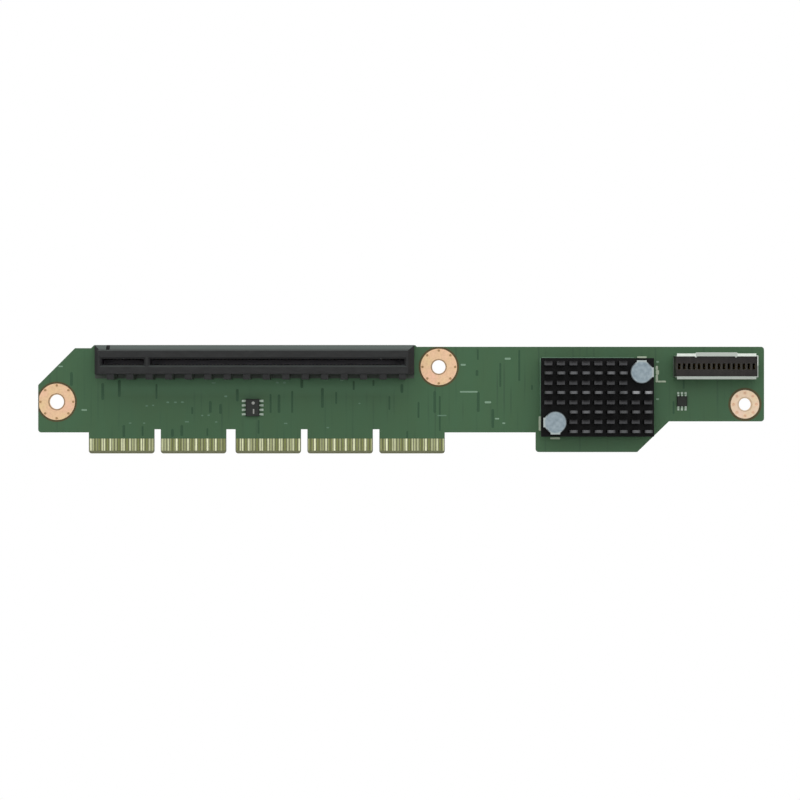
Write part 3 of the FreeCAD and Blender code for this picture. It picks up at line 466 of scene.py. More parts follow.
# This polymer sets with upright flow lines, and takes a closer, smoother surface.
polymer, tree, shader = new_finish("dark_liquid_crystal_polymer", "211E1D", roughness=0.5, specular=0.25)
where = millimetres(tree, (1, 1, 0.3))
axes = add(tree, "SeparateXYZ", millimetres(tree))
CELLS_LOW, CELLS_HIGH = box_mm("cable_connector_insulator")
cells_z, SLITS_HALF, CELL_WALL = (CELLS_LOW[2] + CELLS_HIGH[2]) / 2, 0.95, 0.3
SLIT_ROWS = (cells_z - SLITS_HALF, cells_z + SLITS_HALF)
# Painted highlight on the band of the slits.
slit_band_highlight = inside(tree, axes, Z=SLIT_ROWS)
# Painted light and contact glints: the slits' insides are a light brass tone.
slit_light = inside(tree, axes, X=(CELLS_LOW[0] + CELL_WALL, CELLS_HIGH[0] - CELL_WALL),
                  Y=(CELLS_LOW[1] + CELL_WALL, FAR), Z=SLIT_ROWS)
paint(tree, shader, "1E1B1A", (noise(tree, where, 1.0, detail=4), "282422"),
      (slit_band_highlight, "2C2A25"), (slit_light, "827751"))
roughen(tree, shader, where, 6, 0.01)
print("housings:", slot_plastic.name, polymer.name)

# %% [markdown]
# The push pins are nylon, coloured in the melt, with the soft shine of a part that is a little waxy.
# In the photograph each round head ends a little inside the solid's edge, so a mask paints shade on
# that outer ring, except at the lug, where the paler flange begins. The masks are distances from the
# two heads' axes, which are worked out from the pins' boxes.

# %% Nylon of the push pins
pin_nylon, tree, shader = new_finish("blue_grey_nylon", "8595A0", roughness=0.5, ior=1.53, specular=0.25)
where = millimetres(tree)
flat = add(tree, "VectorMath", where, (1, 0, 1), operation="MULTIPLY")
HEAD_RADIUS, SEEN_RADIUS, LUG_REACH = 3.15, 2.86, 2.5
nearest, shade = FAR, 0
for node, corner, inward in (("upper_push_pin", 0, 1), ("lower_push_pin", 1, -1)):
    x, _, z = [v + inward * HEAD_RADIUS for v in box_mm(node)[corner]]
    away = add(tree, "VectorMath", flat, (x, 0, z), operation="DISTANCE")
    nearest = add(tree, "Math", nearest, away, operation="MINIMUM")
    turned = add(tree, "VectorMath", flat, (inward, 0, inward), (-inward * x, 0, -inward * z),
                 operation="MULTIPLY_ADD")
    off_lug = (-HEAD_RADIUS - 0.4, LUG_REACH)
    # Painted shade on the head's outer ring, away from the lug.
    ring_shade = add(tree, "MapRange", away, SEEN_RADIUS, SEEN_RADIUS + 0.16)
    ring_shade = inside(tree, add(tree, "SeparateXYZ", turned), ring_shade, X=off_lug, Z=off_lug)
    shade = add(tree, "Math", shade, ring_shade, operation="MAXIMUM")
lug = add(tree, "MapRange", nearest, 2.75, 3.2)
paint(tree, shader, "6C7B84", (noise(tree, where, 0.9, detail=4), "8B989E"), (lug, "99A2A1"),
      (shade, "434B4F"))
roughen(tree, shader, where, 3, 0.015)
print("push pins:", pin_nylon.name)

# %% [markdown]
# The heatsink is aluminium, sawn into pins and then anodised black. The pins' tips are painted grey,
# as painted light, while the walls between the pins stay deep black, as in shade. The tips are told
# apart by how far they stand in front of the board: the tall ones are painted lighter, with ends painted
# darker as painted shade, and the low ones carry the painted shadow of the tall pin above. These tones
# repeat with the pitch of the pins, and a painted glint brightens the tips near one place.

# %% Black anodised aluminium
# The saw's marks are finer than a tenth of a millimetre, which is as fine as this relief can show.
anodised, tree, shader = new_finish("black_anodised_aluminium", "09090A", roughness=0.4, specular=0.15)
SINK_LOW, SINK_HIGH = box_mm("heatsink")
PIN_PITCH_X, PIN_PITCH_Z = 3.53, 5.52
BASE_DEPTH, TIP_DEPTH = 3.5, 0.4
middle_x, _, middle_z = [(a + b) / 2 for a, b in zip(SINK_LOW, SINK_HIGH)]
FIRST_LOW_ROW = middle_z - 1.25 * PIN_PITCH_Z
GLINT_PLACE = (middle_x + 3.5 * PIN_PITCH_X, SINK_LOW[1], middle_z + 0.25 * PIN_PITCH_Z)
where, axes, facing = surface_of(tree)
# Painted light: the tips are grey, and the walls between the pins stay black.
lit_tips = inside(tree, facing, inside(tree, axes, Y=(-FAR, SINK_HIGH[1] - BASE_DEPTH)), Y=(-FAR, -0.6))
tall = inside(tree, axes, Y=(-FAR, SINK_LOW[1] + TIP_DEPTH))
across = add(tree, "Math", axes.outputs["X"], middle_x, operation="SUBTRACT")
across = add(tree, "Math", across, PIN_PITCH_X / 2, operation="PINGPONG")
up = add(tree, "Math", axes.outputs["Z"], FIRST_LOW_ROW, operation="SUBTRACT")
up = add(tree, "Math", up, PIN_PITCH_Z / 2, -PIN_PITCH_Z / 2, operation="WRAP")
# Painted shadow of the tall pin above, on each low tip.
shadow_top_half = add(tree, "MapRange", up, -0.1, 0.5)
shadow_mid_width = add(tree, "MapRange", across, 1.1, 0.35)
shadow_core = add(tree, "Math", shadow_top_half, shadow_mid_width, operation="MULTIPLY")
low_tip = layers(tree, "3C3C3E", (shadow_top_half, "272728"), (shadow_core, "141415"))
# Painted glint near one place.
painted_glint = add(tree, "VectorMath", where, GLINT_PLACE, operation="DISTANCE")
painted_glint = add(tree, "MapRange", painted_glint, 5.5, 2.5)
# Painted shade at the ends of the tall tips.
end_shade = add(tree, "MapRange", across, 0.5, 1.2)
tall_tip = layers(tree, "434445", (noise(tree, where, 0.11, detail=1), "5B5C5E"), (painted_glint, "838486"),
                  (end_shade, "28282A"))
lit_tip_tones = layers(tree, low_tip, (tall, tall_tip))
paint(tree, shader, "050506", (noise(tree, where, 3), "0A0A0B"), (lit_tips, lit_tip_tones))
roughen(tree, shader, millimetres(tree, (0.2, 1, 1)), 10, 0.006, 0.6)
print("tips of the tall pins at y =", round(SINK_LOW[1], 2), "mm")

# %% [markdown]
# The cable connector's shell is stamped from thin stainless steel and plated with nickel. Its tones are
# painted light and shade: the upper strips at its mouth are brightest, the raised middle and the lower
# half are painted darker, the parts behind the mouth darker still, and the left sill is painted dark as
# in shade. The rolled metal has faint lines along its length. Metals have no colour of their own
# besides that of their reflection.

# %% Nickel of the shell
SHELL_LOW, SHELL_HIGH = box_mm("cable_connector_shell")
SHELL_MIDDLE = [(a + b) / 2 for a, b in zip(SHELL_LOW, SHELL_HIGH)]
RAISED_HALF, MOUTH_DEPTH, SILL_WIDTH = 5.9, 0.4, 0.5
shell_nickel, tree, shader = new_finish("nickel_plated_stainless_steel", "E8EBE7", metallic=1,
                                        roughness=0.28)
where, axes, facing = surface_of(tree)
# Painted light and shade: the front's tones by region, and a dark left sill.
raised = inside(tree, axes, X=(SHELL_MIDDLE[0] - RAISED_HALF, SHELL_MIDDLE[0] + RAISED_HALF))
shaded_low_side = inside(tree, axes, Z=(-FAR, SHELL_MIDDLE[2]))
lit_front_nickel = layers(tree, "ECF3EA", (raised, "C0C7BF"), (shaded_low_side, "B3BBB3"))
at_mouth = inside(tree, axes, Y=(-FAR, SHELL_LOW[1] + MOUTH_DEPTH))
at_left = inside(tree, axes, X=(-FAR, SHELL_LOW[0] + SILL_WIDTH))
shaded_left_sill = inside(tree, facing, at_left, Y=(-FAR, -0.5))
rolled = noise(tree, millimetres(tree, (0.15, 1, 1)), 4, high=0.25)
paint(tree, shader, "A4AAA5", (at_mouth, lit_front_nickel), (shaded_left_sill, "596259"), (rolled, "A9B0AA"))
roughen(tree, shader, where, 12, 0.003)
print("shell:", shell_nickel.name)

# %% [markdown]
# The small pieces have plainer finishes: two close tones in soft patches, and a fine relief where the
# real surface has one. Most of that relief is finer than the picture can show, so it is drawn a few
# times coarser, which only softens the highlights. A line says what each gives the eye.

# %% Metals, ceramic and packages of the small pieces
# Solder sets bright and slightly wavy; plated tin on leads is duller, and its green tint is a
# painted reflection of the board.
tin = mottled("reflowed_tin", "D5D7D6", "C6C9C9", "E2E4E3", 3, (5, 0.01), metallic=1, roughness=0.33)
dull_tin = mottled("dull_tin_plate", "AEBDAF", "9DAC9E", "BFCEC0", 2.5, (6, 0.01),
                   metallic=1, roughness=0.45)
# Brushing draws lines along the lid. Spring wire is drawn smooth through a die.
lid_nickel = mottled("brushed_nickel_on_copper", "BFC1C2", "B2B4B6", "C8CACB", 9, (14, 0.003),
                     stretch=(0.05, 1, 1), metallic=1, roughness=0.35)
spring_steel = mottled("drawn_spring_steel", "B4B6B7", "A6A8AA", "C0C2C3", 5, (14, 0.003),
                       metallic=1, roughness=0.3)
# Filled silicone is flat and matt. A chip's laminate is the board's in thin.
pad_rubber = mottled("silicone_heat_pad", "8A8F96", "83888F", "959AA0", 3, roughness=0.8, specular=0.3)
package = mottled("green_chip_laminate", "2F4A30", "2B452D", "365339", 2, roughness=0.45, specular=0.35)
# Fired ceramic is a warm brown with a dry, close grain.
ceramic = mottled("fired_barium_titanate", "9C7E58", "93764F", "A88A63", 4, (8, 0.01),
                  roughness=0.5, ior=1.6, specular=0.4)
# Epoxy full of silica dust moulds to a sooty black. Handling greys it, and a laser burns it pale.
chip_epoxy = mottled("black_mould_compound", "1D201C", "191C18", "232722", 5, (12, 0.01, 0.6),
                     detail=5, roughness=0.6, specular=0.3)
dusty_epoxy = mottled("greyed_mould_compound", "242724", "202320", "2B2E2B", 5, (12, 0.01, 0.6),
                      detail=5, roughness=0.65, specular=0.3)
laser_grey = mottled("laser_marked_mould_compound", "8B8C88", "7C7D79", "9A9B97", 5,
                     roughness=0.8, specular=0.2)
print("small pieces:", tin.name, ceramic.name, chip_epoxy.name)

# %% [markdown]
# The last finishes are films on the board. Screen ink is chalky, and the thinner it lies, the more of
# the green comes through. The mask goes darker over a gap in the copper and lighter over a via's
# ring. Bare laminate shows round the pads, darkened by painted shade at the mask's edge. The vias are
# either filled or open, and an open one is a flat disc painted dark as the shade in its hole.

# %% Ink, mask and vias
silk_ink, thin_ink, faint_ink = (
    mottled(name, *tones, 6, roughness=0.6, specular=0.3) for name, *tones in (
        ("white_screen_ink", "98A48F", "8B9883", "A5B19C"),
        ("thin_screen_ink", "69866F", "5F7B65", "75927B"),
        ("rubbed_screen_ink", "51705A", "4B6A53", "597862")))
buried_trace = mottled("mask_over_bare_gap", "2B4932", "28462F", "2E4D35", 3, roughness=0.5, specular=0.2)
tented_mask = mottled("mask_over_via_ring", "3E6444", "3B6040", "446C4B", 5, roughness=0.4, specular=0.35)
# The ring's dark tone is bare laminate with painted shade at the mask's edge.
bare_ring_with_shade = mottled("bare_laminate_ring_with_painted_shade", "453E22", "3D371E", "4E4729", 4, roughness=0.6, specular=0.25)
via_blush = mottled("filled_via", "D4AE92", "CBA285", "DEB9A0", 8, roughness=0.6, specular=0.2)
# Painted shade: a flat disc stands for the dark inside of an open via.
via_shadow = mottled("painted_via_shadow", "9C7C58", "8E6E48", "AA8A64", 8, roughness=0.6, specular=0.2)
print("finishes in all:", len(bpy.data.materials))

# %% [markdown]
# The CAD solids have perfectly sharp edges, and real ones never have: a moulding has a small radius
# and a stamped part a burr or a rolled edge. A Bevel modifier rounds the edges without touching the
# solid's own mesh. The imported mesh is split along its edges, so a Weld modifier joins it first.
# Each row below is a finish, the radius of the edges in millimetres, and the solids that have both.

# %% Finish the CAD solids
FINISHES = (
    (solder_mask, 0.06, "circuit_board"),
    (finger_gold, 0, "edge_fingers_front", "edge_fingers_back"),
    (pad_copper, 0, "left_screw_pads", "middle_screw_pads"),
    (pale_copper, 0, "right_screw_pads"),
    (slot_plastic, 0.08, "slot_housing"),
    (bare_bronze, 0, "slot_contacts_upper", "slot_contacts_lower"),
    (package, 0.05, "retimer_substrate"),
    (lid_nickel, 0, "retimer_lid"),
    (pad_rubber, 0, "thermal_pad"),
    (anodised, 0.07, "heatsink"),
    (pin_nylon, 0.2, "upper_push_pin", "lower_push_pin"),
    (spring_steel, 0, "upper_pin_spring", "lower_pin_spring"),
    (shell_nickel, 0.06, "cable_connector_shell"),
    (polymer, 0.04, "cable_connector_insulator"),
    (contact_gold, 0, "cable_contacts_upper", "cable_contacts_lower"),
    (dusty_epoxy, 0.06, "memory_chip_body"),
    (chip_epoxy, 0.05, "small_chip_body"),
    (dull_tin, 0, "memory_chip_leads", "small_chip_leads"),
    (ceramic, 0.05, "capacitor_bodies"),
    (tin, 0.05, "capacitor_ends"),
)
for finish, radius, *nodes in FINISHES:
    for solid in (frame["nodes"][node] for node in nodes):
        for slot in solid.material_slots:
            slot.material = finish
        if radius:
            weld = solid.modifiers.new("join_split_edges", "WELD")
            weld.merge_threshold = 0.002 * MM
            bevel = solid.modifiers.new("edge_radius", "BEVEL")
            bevel.width = radius * MM
            bevel.segments = 2
            bevel.limit_method = "ANGLE"
            bevel.angle_limit = math.radians(35)
print("solids finished:", sum(len(row) - 2 for row in FINISHES), "of", len(frame["nodes"]))

# %% [markdown]
# The small pieces below are too fine to be solids of their own: printed marks, plated rings, solder.
# Most of them are one of two shapes. A plate is an outline pushed through a thickness, as a stamped or
# printed thing is. A turned shape is a profile spun round an axis, as a rivet, a ring or a drop of
# solder is. Both are written in millimetres and built with bmesh, many to one object.

# %% Helpers for small pieces
BODY = next(iter(frame["bodies"]))


def add_plate(shape, outline, front, back, far_outline=None):
    """An outline of x, z points pushed from one depth to another, where it may end as another one."""
    near_side = [shape.verts.new((x * MM, front * MM, z * MM)) for x, z in outline]
    far_side = [shape.verts.new((x * MM, back * MM, z * MM)) for x, z in far_outline or outline]
    shape.faces.new(near_side)
    shape.faces.new(far_side[::-1])
    for i in range(len(outline)):
        j = (i + 1) % len(outline)
        shape.faces.new((near_side[i], far_side[i], far_side[j], near_side[j]))


def rounded_box(x, z, width, height, radius, steps=3):
    """The outline of a box with rounded corners, centred on x, z."""
    points = []
    for turn, (side_x, side_z) in enumerate(((1, 1), (-1, 1), (-1, -1), (1, -1))):
        for step in range(steps + 1):
            angle = math.pi / 2 * (turn + step / steps)
            points.append((x + side_x * (width / 2 - radius) + radius * math.cos(angle),
                           z + side_z * (height / 2 - radius) + radius * math.sin(angle)))
    return points


def add_turned(shape, profile, x, z, steps=24, keep_inside=None):
    """Spins a closed ring of radius, y points round an axis through x, z."""
    rings = []
    for step in range(steps):
        angle = 2 * math.pi * step / steps
        ring = []
        for radius, y in profile:
            px, pz = x + radius * math.cos(angle), z + radius * math.sin(angle)
            if keep_inside:
                px = min(max(px, keep_inside[0]), keep_inside[1])
            ring.append(shape.verts.new((px * MM, y * MM, pz * MM)))
        rings.append(ring)
    for step in range(steps):
        one, other = rings[step], rings[(step + 1) % steps]
        for i in range(len(profile)):
            j = (i + 1) % len(profile)
            shape.faces.new((one[i], one[j], other[j], other[i]))


def new_piece(name, shape, finish, smooth=False):
    """Turns a finished bmesh into an object that rides on the card."""
    bmesh.ops.remove_doubles(shape, verts=shape.verts, dist=1e-7)
    bmesh.ops.recalc_face_normals(shape, faces=shape.faces)
    mesh = bpy.data.meshes.new(name)
    shape.to_mesh(mesh)
    shape.free()
    for face in mesh.polygons:
        face.use_smooth = smooth
    mesh.materials.append(finish)
    piece = bpy.data.objects.new(name, mesh)
    scene.collection.objects.link(piece)
    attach(piece, BODY)
    print(f"{name}: {len(mesh.polygons)} faces")
    return piece


print("pieces ride on:", BODY)

# %% [markdown]
# Round each screw pad the solder mask stands back a little, and a ring of bare laminate shows, its
# tone darkened by painted shade at the mask's edge. The hole itself is lined with a film of copper.
# Eight small plated holes tie each pad to the copper planes inside the board, and each one is a raised
# rim round a flat disc painted dark, as painted shade where the open hole would be. Those of the right
# pad are filled, and there the ring laps a little over the copper's edge. At the board's left edge a
# narrow strip covers the copper, which on the real board stops short of the saw's path. Every ring is a
# turned profile, which is quicker to make and cleaner than a cut through a plate.

# %% Screw pads
BOARD_LOW, BOARD_HIGH = box_mm("circuit_board")
BOARD_BACK = BOARD_HIGH[1]
PADS = []
for side, hole_radius, via_radius in (("left", 2.1, 4.68), ("middle", 1.95, 4.68), ("right", 1.8, 3.25)):
    low, high = box_mm(f"{side}_screw_pads")
    x, z, pad_radius = (low[0] + high[0]) / 2, (low[2] + high[2]) / 2, (high[0] - low[0]) / 2
    PADS.append((x, z, pad_radius, hole_radius, via_radius))
print("pads at:", [(round(x, 2), round(z, 2)) for x, z, *_ in PADS])

MASK_SETBACK, RIGHT_LAP, EDGE_STRIP = 0.55, 0.12, 0.3
FILM, LAPPED_FILM, PAD_TOP = 0.012, 0.065, 0.05
rings, linings, rims, via_shadow_discs, plugs, burrs = (bmesh.new() for _ in range(6))
for x, z, pad_radius, hole_radius, via_radius in PADS:
    at_right = x > 0.5 * BOARD_HIGH[0]
    cores, lap = (plugs, RIGHT_LAP) if at_right else (via_shadow_discs, 0)
    for face, out in ((0, -1), (BOARD_BACK, 1)):
        inner, outer = pad_radius - lap, pad_radius + MASK_SETBACK
        lip = face + out * (LAPPED_FILM if lap else FILM)
        profile = [(inner, face), (inner, lip), (pad_radius + lap, lip), (outer, face + out * FILM),
                   (outer, face)]
        add_turned(rings, profile, x, z, 64, keep_inside=(BOARD_LOW[0], BOARD_HIGH[0]))
        if x - pad_radius < BOARD_LOW[0] + EDGE_STRIP:
            strip = rounded_box(BOARD_LOW[0] + EDGE_STRIP / 2, z, EDGE_STRIP, 5.5, 0.05)
            add_plate(rings, strip, *sorted((face, face + out * LAPPED_FILM)))
        top = face + out * PAD_TOP
        raised_rim = [(0.33, top), (0.36, top + out * 0.03), (0.42, top + out * 0.03), (0.47, top)]
        core = [(0.001, top), (0.34, top), (0.34, top + out * FILM), (0.001, top + out * FILM / 2)]
        for number in range(8):
            angle = math.pi / 4 * number
            via_x, via_z = x + via_radius * math.cos(angle), z + via_radius * math.sin(angle)
            add_turned(rims, raised_rim, via_x, via_z, 16)
            add_turned(cores, core, via_x, via_z, 12)
        add_turned(burrs, [(hole_radius, top), (hole_radius + 0.05, top + out * 0.025),
                           (hole_radius + 0.28, top + out * 0.02), (hole_radius + 0.34, top)], x, z, 48)
    front, back = -PAD_TOP, BOARD_BACK + PAD_TOP
    add_turned(linings, [(hole_radius - 0.03, front), (hole_radius, front), (hole_radius, back),
                         (hole_radius - 0.03, back)], x, z, 48)
new_piece("screw_pad_mask_openings", rings, bare_ring_with_shade)
new_piece("screw_hole_linings", linings, pad_copper, smooth=True)
new_piece("screw_hole_rims", burrs, shaded_hole_rim_copper, smooth=True)
new_piece("screw_pad_via_rims", rims, pad_copper, smooth=True)
new_piece("screw_pad_via_shadow_discs", via_shadow_discs, via_shadow)
new_piece("screw_pad_via_plugs", plugs, via_blush)

# %% [markdown]
# The screen-printed marks are ink, a few hundredths of a millimetre thick. They are short dashes and
# dots that say where small parts go, and bars at the heatsink's rim that mark its outline. Each is
# read from the photograph as a column, a row, a width and a height in pixels, and laid on the face.
# How strongly a mark shows depends on its ink, so the marks are kept in three lists, one to an ink.

# %% Printed marks
INK_THICKNESS = 0.03
INK_DASHES = [
    (84.2, 410, 5.5, 1.6), (463.2, 364.8, 5, 1.9), (507.7, 358.7, 6, 2), (468.7, 391.8, 17.8, 1.5),
    (487.9, 402.3, 6.4, 2), (497.1, 418.7, 4, 1.5), (503.8, 423.2, 3, 1.5),
    (60.6, 366.4, 4.5, 1.3), (657.6, 399.1, 3, 1.7), (657.6, 361.8, 2.6, 1.8),
]
INK_DOTS = [
    (146.7, 405.9, 2.4, 1.3), (153.1, 405.3, 2.2, 1.3), (167.8, 402.3, 2.8, 1.5),
    (175.4, 402.3, 3, 1.5), (182.4, 402.1, 2.8, 1.5), (202.2, 415.5, 2.2, 1.2), (208.6, 415.2, 2.4, 1.3),
    (130.1, 423.1, 2.6, 1.2), (144.2, 423.1, 2.2, 1.2), (186.9, 421.8, 4, 1.2), (213.7, 382.9, 4, 1.3),
    (225.8, 396.3, 3, 1.8), (277.4, 382.6, 2.8, 1.6), (284.4, 382.6, 3, 1.8), (341.8, 380.1, 3.6, 1.3),
    (285.7, 423.4, 3.4, 1.2), (327.8, 427.6, 2.6, 1.3), (216.2, 422, 2.4, 1.2), (442, 415.5, 9, 1.1),
    (540.4, 386, 1.1, 56), (588, 357.5, 92, 0.8), (359.5, 403.4, 2, 1.2),
]
INK_BARS = [
    (641.9, 357.2, 9.4, 1.7), (656.8, 367.9, 2.2, 4.2), (657.4, 372.4, 3.2, 4.8), (656.8, 378.6, 2.2, 7.6),
    (539.9, 423.5, 2.4, 14.5), (555.1, 438.3, 10, 1.9), (661.9, 381.5, 8, 1.7),
]
for name, group, ink in (("printed_dashes", INK_DASHES, thin_ink), ("printed_dots", INK_DOTS, faint_ink),
                         ("printed_bars", INK_BARS, silk_ink)):
    marks = bmesh.new()
    for column, row, width, height in group:
        x, z = on_face(column, row)
        width, height = width * PIXEL, height * PIXEL
        add_plate(marks, rounded_box(x, z, width, height, min(width, height) * 0.4), -INK_THICKNESS, 0)
    new_piece(name, marks, ink)

# %% [markdown]
# Copper tracks run under the mask. Where the mask dips between two tracks, a thin darker line shows,
# mostly up and down, from the card slot towards the fingers. Each line is a plate a hundredth of a
# millimetre thick, so it catches the light as a real step in the mask does.

# %% Lines between buried tracks
WIDE_LINES = [
    (71.5, 372, 386), (102.7, 383, 400), (119.3, 380, 397), (123.8, 425, 437), (181.8, 425, 436),
    (210.3, 401, 413), (220.5, 404, 414), (237.3, 389, 401.5), (279, 394.5, 413), (301.8, 377, 388),
    (322.4, 388, 408), (401.9, 384, 393), (434.8, 391, 413), (478.2, 392, 412), (492.8, 409, 428),
    (477, 370, 376), (172.4, 429, 437),
]
THIN_LINES = [
    (207.4, 428, 436), (142.6, 426, 436), (477.8, 349, 360), (519.3, 350, 381), (500.3, 363, 387),
    (292.2, 391, 413), (270.6, 394, 413), (353.7, 381, 390), (373.5, 380, 386), (407.3, 431, 438),
    (439.8, 396, 431), (683.7, 380, 389), (673.6, 401, 414), (192.2, 407, 414), (532, 385, 390),
    (156.5, 384, 399), (258.6, 420, 434), (336.2, 392, 404), (389.4, 396, 410), (418.5, 402, 418),
]
tracks = bmesh.new()
for lines, width in ((WIDE_LINES, 0.8), (THIN_LINES, 0.55)):
    for column, top_row, low_row in lines:
        x, high_z = on_face(column, top_row)
        low_z = on_face(column, low_row)[1]
        outline = rounded_box(x, (high_z + low_z) / 2, width, high_z - low_z, width * 0.45)
        add_plate(tracks, outline, -FILM, 0)
new_piece("buried_track_lines", tracks, buried_trace)

# %% [markdown]
# Inside the card slot, each spring contact stands in its own narrow pocket. The CAD solid has one long
# channel on each side, and here thin walls divide it, halfway between each two contacts. Their place
# is read from the contacts' own mesh, whose loose solids lie a millimetre apart.

# %% Walls between the slot's contacts
UPPER_LOW, UPPER_HIGH = box_mm("slot_contacts_upper")
LOWER_LOW, LOWER_HIGH = box_mm("slot_contacts_lower")
contact_mesh = frame["nodes"]["slot_contacts_upper"].data
edges_x = sorted({round(vertex.co.x / MM, 2) for vertex in contact_mesh.vertices})
contact_x = [(a + b) / 2 for a, b in zip(edges_x[::2], edges_x[1::2])]
walls = bmesh.new()
KEY_GAP, WALL_WIDTH = 1.2, 0.3
upper_wall = (UPPER_LOW[2] + 0.25, UPPER_HIGH[2] - 0.02)
lower_wall = (LOWER_LOW[2] + 0.02, LOWER_HIGH[2] - 0.25)
for left, right in zip(contact_x, contact_x[1:]):
    if right - left > KEY_GAP:
        continue
    for low_z, high_z in (upper_wall, lower_wall):
        outline = rounded_box((left + right) / 2, (low_z + high_z) / 2, WALL_WIDTH, high_z - low_z, 0.05,
                              steps=1)
        add_plate(walls, outline, SLOT_LOW[1] + 1.65, -0.5)
new_piece("slot_contact_walls", walls, slot_plastic)
print("contacts in a row:", len(contact_x))

# %% [markdown]
# The slot's lower wall is stiffened by upright ribs. Between them the photograph shows a dark band at
# the wall's foot. It is taken for a low rim of the moulding, which is a guess: it may be only shadow.
# The ribs' places are read from the housing's own mesh, and a plate fills each space between two.

# %% Rim between the slot's ribs
RIB_REACH, RIM_REACH, RIM_HEIGHT = 1.5, 1.15, 0.3
slot_mesh = frame["nodes"]["slot_housing"].data
rib_edges = sorted({round(v.co.x / MM, 2) for v in slot_mesh.vertices if v.co.z / MM < SLOT_LOW[2] + 0.05})
wall_z = SLOT_LOW[2] + RIB_REACH
base_rim = bmesh.new()
for left, right in zip([SLOT_LOW[0]] + rib_edges[1::2], rib_edges[::2] + [SLOT_HIGH[0]]):
    if right - left > 0.3:
        outline = rounded_box((left + right) / 2, wall_z - RIM_REACH / 2, right - left, RIM_REACH, 0.08)
        add_plate(base_rim, outline, -RIM_HEIGHT, 0)
new_piece("slot_base_rim", base_rim, slot_plastic)
print("ribs:", len(rib_edges) // 2)

# %% [markdown]
# The chip under the heatsink is soldered down on a grid of small balls. Only the outer rows can be
# seen, from the side, but the whole grid is cheap to make as turned drops.

# %% Solder balls
CHIP_LOW, CHIP_HIGH = box_mm("retimer_substrate")
BALL_PITCH, BALL_RADIUS = 0.9, 0.27
ball_profile = [(0.001, -0.3), (0.17, -0.29), (BALL_RADIUS, -0.2), (BALL_RADIUS, -0.1),
                (0.17, -0.01), (0.001, 0.0)]
balls = bmesh.new()
count = int((CHIP_HIGH[0] - CHIP_LOW[0] - 1) / BALL_PITCH) + 1
middle_x, middle_z = (CHIP_LOW[0] + CHIP_HIGH[0]) / 2, (CHIP_LOW[2] + CHIP_HIGH[2]) / 2
for column in range(count):
    for row in range(count):
        x = middle_x + BALL_PITCH * (column - (count - 1) / 2)
        z = middle_z + BALL_PITCH * (row - (count - 1) / 2)
        add_turned(balls, ball_profile, x, z, 10)
new_piece("retimer_solder_balls", balls, tin, smooth=True)

# %% [markdown]
# Each chip lead stands on a tinned pad with a small slope of solder round its foot. A pad is a plate
# a little larger than the foot, and the slope is a low frustum. The memory chip has a dot burnt in by
# a laser, which marks the first lead, and a short bar below it.

# %% Solder at the chip leads
solder = bmesh.new()
FOOT_INSET = 0.42
for node, along, number, pitch, (span_x, span_z) in (
        ("memory_chip_leads", "z", 4, 1.27, (1.05, 0.72)), ("small_chip_leads", "x", 3, 1.03, (0.7, 0.95))):
    low, high = box_mm(node)
    x_middle, z_middle = (low[0] + high[0]) / 2, (low[2] + high[2]) / 2
    for side in (-1, 1):
        for i in range(number):
            offset = (i - (number - 1) / 2) * pitch
            if along == "z":
                x, z = x_middle + side * ((high[0] - low[0]) / 2 - FOOT_INSET), z_middle + offset
            else:
                x, z = x_middle + offset, z_middle + side * ((high[2] - low[2]) / 2 - FOOT_INSET)
            base = rounded_box(x, z, span_x, span_z, 0.1)
            top = rounded_box(x, z, span_x - 0.3, span_z - 0.12, 0.1)
            add_plate(solder, base, 0, -0.12, top)
new_piece("chip_lead_solder", solder, dull_tin)

dots = bmesh.new()
low, high = box_mm("memory_chip_body")
x, z = on_face(253.4, 403)
face = low[1]
add_turned(dots, [(0.001, face), (0.44, face), (0.44, face - 0.015), (0.001, face - 0.015)], x, z, 20)
x, z = on_face(253.8, 411.4)
add_plate(dots, rounded_box(x, z, 0.4, 1.4, 0.15), face - FILM, face)
new_piece("chip_marks", dots, laser_grey)

# %% [markdown]
# The raised middle of the cable connector's shell is pressed out of its wall. At both ends of it the
# sheet folds back, and the fold stands a little inside the wall as a small bright bead.

# %% Folds of the shell
FOLD_COLUMNS, FOLD_ROW = (694.0, 733.8), 356.6
folds = bmesh.new()
front = SHELL_LOW[1]
bead = [(0.001, front + 0.02), (0.3, front + 0.05), (0.42, front + 0.2), (0.42, front + 0.9),
        (0.001, front + 0.9)]
for column in FOLD_COLUMNS:
    x, z = on_face(column, FOLD_ROW)
    add_turned(folds, bead, x, z, 16)
new_piece("shell_folds", folds, shell_nickel, smooth=True)

# %% [markdown]
# On the back, each contact of the card slot ends in a pin that comes through the board and holds in a
# drop of solder, in two staggered rows to each side. A drop is a turned shape with the pin's blunt tip
# standing out of it. No drop is made where one of the slot's two pegs comes through.

# %% Solder on the back
drops = bmesh.new()
back = BOARD_BACK
PEG_ROOM = 1.8
peg_ends = [v.co.x / MM for v in slot_mesh.vertices if v.co.y / MM > back + 0.3]
slot_centre = (SLOT_LOW[0] + SLOT_HIGH[0]) / 2
pegs = []
for group in ([x for x in peg_ends if x < slot_centre], [x for x in peg_ends if x > slot_centre]):
    pegs.append((min(group) + max(group)) / 2)
slot_z = (UPPER_LOW[2] + LOWER_HIGH[2]) / 2
drop = [(0.001, back), (0.52, back), (0.42, back + 0.14), (0.3, back + 0.32), (0.24, back + 0.7),
        (0.18, back + 0.81), (0.001, back + 0.81)]
for number, x in enumerate(contact_x):
    row = 1.0 if number % 2 else 3.0
    beside_peg = min(abs(x - peg) for peg in pegs) < PEG_ROOM
    for side in (-1, 1):
        if not (beside_peg and row < 2):
            add_turned(drops, drop, x, slot_z + side * row / 2 * 1.25, 12)
new_piece("slot_solder_drops", drops, tin, smooth=True)

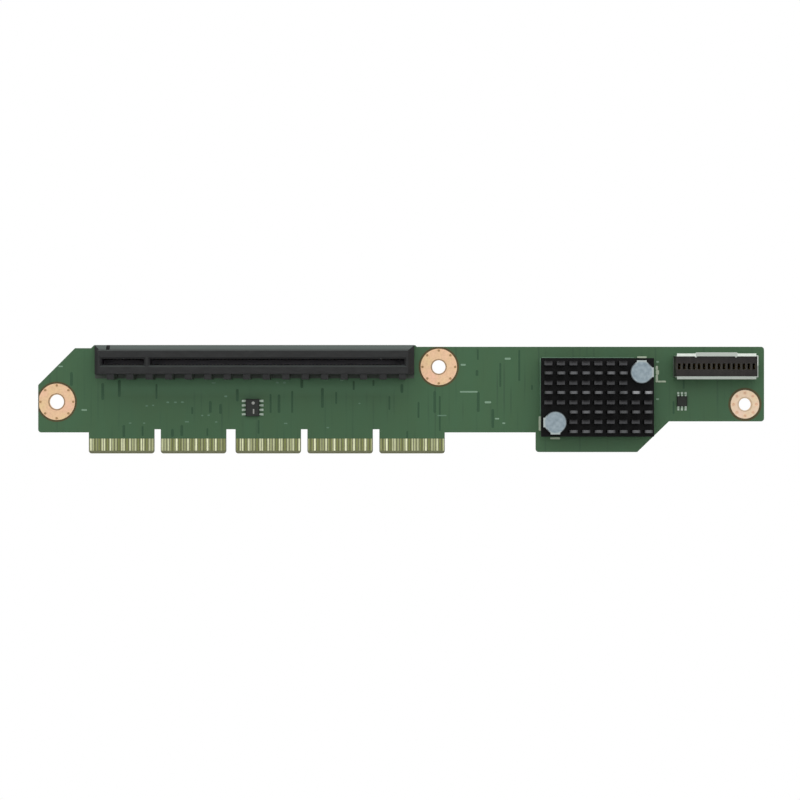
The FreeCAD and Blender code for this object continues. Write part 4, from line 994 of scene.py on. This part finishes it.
# %% [markdown]
# The cable connector's shell stands on four legs. Each leg comes through its hole and sits in a ring
# of solder that climbs up its sides.

# %% Solder at the shell's legs
LEG_INSET = 3.0
collars = bmesh.new()
collar = [(0.5, back), (1.05, back), (0.95, back + 0.08), (0.62, back + 0.26), (0.5, back + 0.45)]
for x in (SHELL_LOW[0] + LEG_INSET, SHELL_HIGH[0] - LEG_INSET):
    for z in (SHELL_MIDDLE[2] - 3.08, SHELL_MIDDLE[2] + 2.82):
        add_turned(collars, collar, x, z, 20)
new_piece("shell_leg_solder", collars, tin, smooth=True)

# %% [markdown]
# Behind the chip, its signals change layers through small holes that the mask covers. They show as low
# green rings in rows between the capacitors. Further rows follow the tracks from the card slot down
# to the fingers. White lines frame the two rows of capacitors.

# %% Vias and lines on the back
CAPS_LOW, CAPS_HIGH = box_mm("capacitor_bodies")
VIA_RING = [(0.12, back), (0.14, back + 0.02), (0.24, back + 0.03), (0.32, back + 0.02), (0.34, back)]
vias = bmesh.new()
caps_x, caps_z = (CAPS_LOW[0] + CAPS_HIGH[0]) / 2, (CAPS_LOW[2] + CAPS_HIGH[2]) / 2
for column in range(14):
    for up in (-4.6, -3.6, -0.5, 0.5, 3.6, 4.6):
        add_turned(vias, VIA_RING, caps_x + (column - 6.5) * 1.0, caps_z + up, 12)
for number, x in enumerate(contact_x[1:-1:2]):
    add_turned(vias, VIA_RING, x, slot_z - (5.2, 6.3, 7.4)[number % 3], 12)
new_piece("back_vias", vias, tented_mask, smooth=True)

frames = bmesh.new()
half_x, half_z = (CAPS_HIGH[0] - CAPS_LOW[0]) / 2 + 0.7, (CAPS_HIGH[2] - CAPS_LOW[2]) / 2 + 0.55
for side in (-1, 1):
    for line in ((caps_x, caps_z + side * half_z, half_x * 2 + 0.15, 0.15),
                 (caps_x + side * half_x, caps_z, 0.15, half_z * 2 - 0.2)):
        add_plate(frames, rounded_box(*line, 0.05), back, back + INK_THICKNESS)
new_piece("back_printed_frame", frames, silk_ink)

back_lines = bmesh.new()
BACK_LINES = [
    (-86, -9, 4), (-79.5, -8, 5.5), (-71, -10, 3), (-62.4, -8.5, 5), (-55, -9.5, 4), (-47.2, -8, 5),
    (-38.6, -9, 4.5), (-30.1, -8.2, 5.2), (-21.4, -9.4, 3.6), (-13.8, -8.8, 4.4), (12, -3, 7),
    (14.2, -3.6, 6), (16.4, -3, 7), (24.5, -8, 6), (26.1, -8.5, 5), (60.2, -6, 5), (62.1, -6.4, 4.4),
    (66, -7, 5),
]
for x, z, length in BACK_LINES:
    add_plate(back_lines, rounded_box(x, z, 0.25, length, 0.1), back, back + FILM)
new_piece("back_track_lines", back_lines, buried_trace)
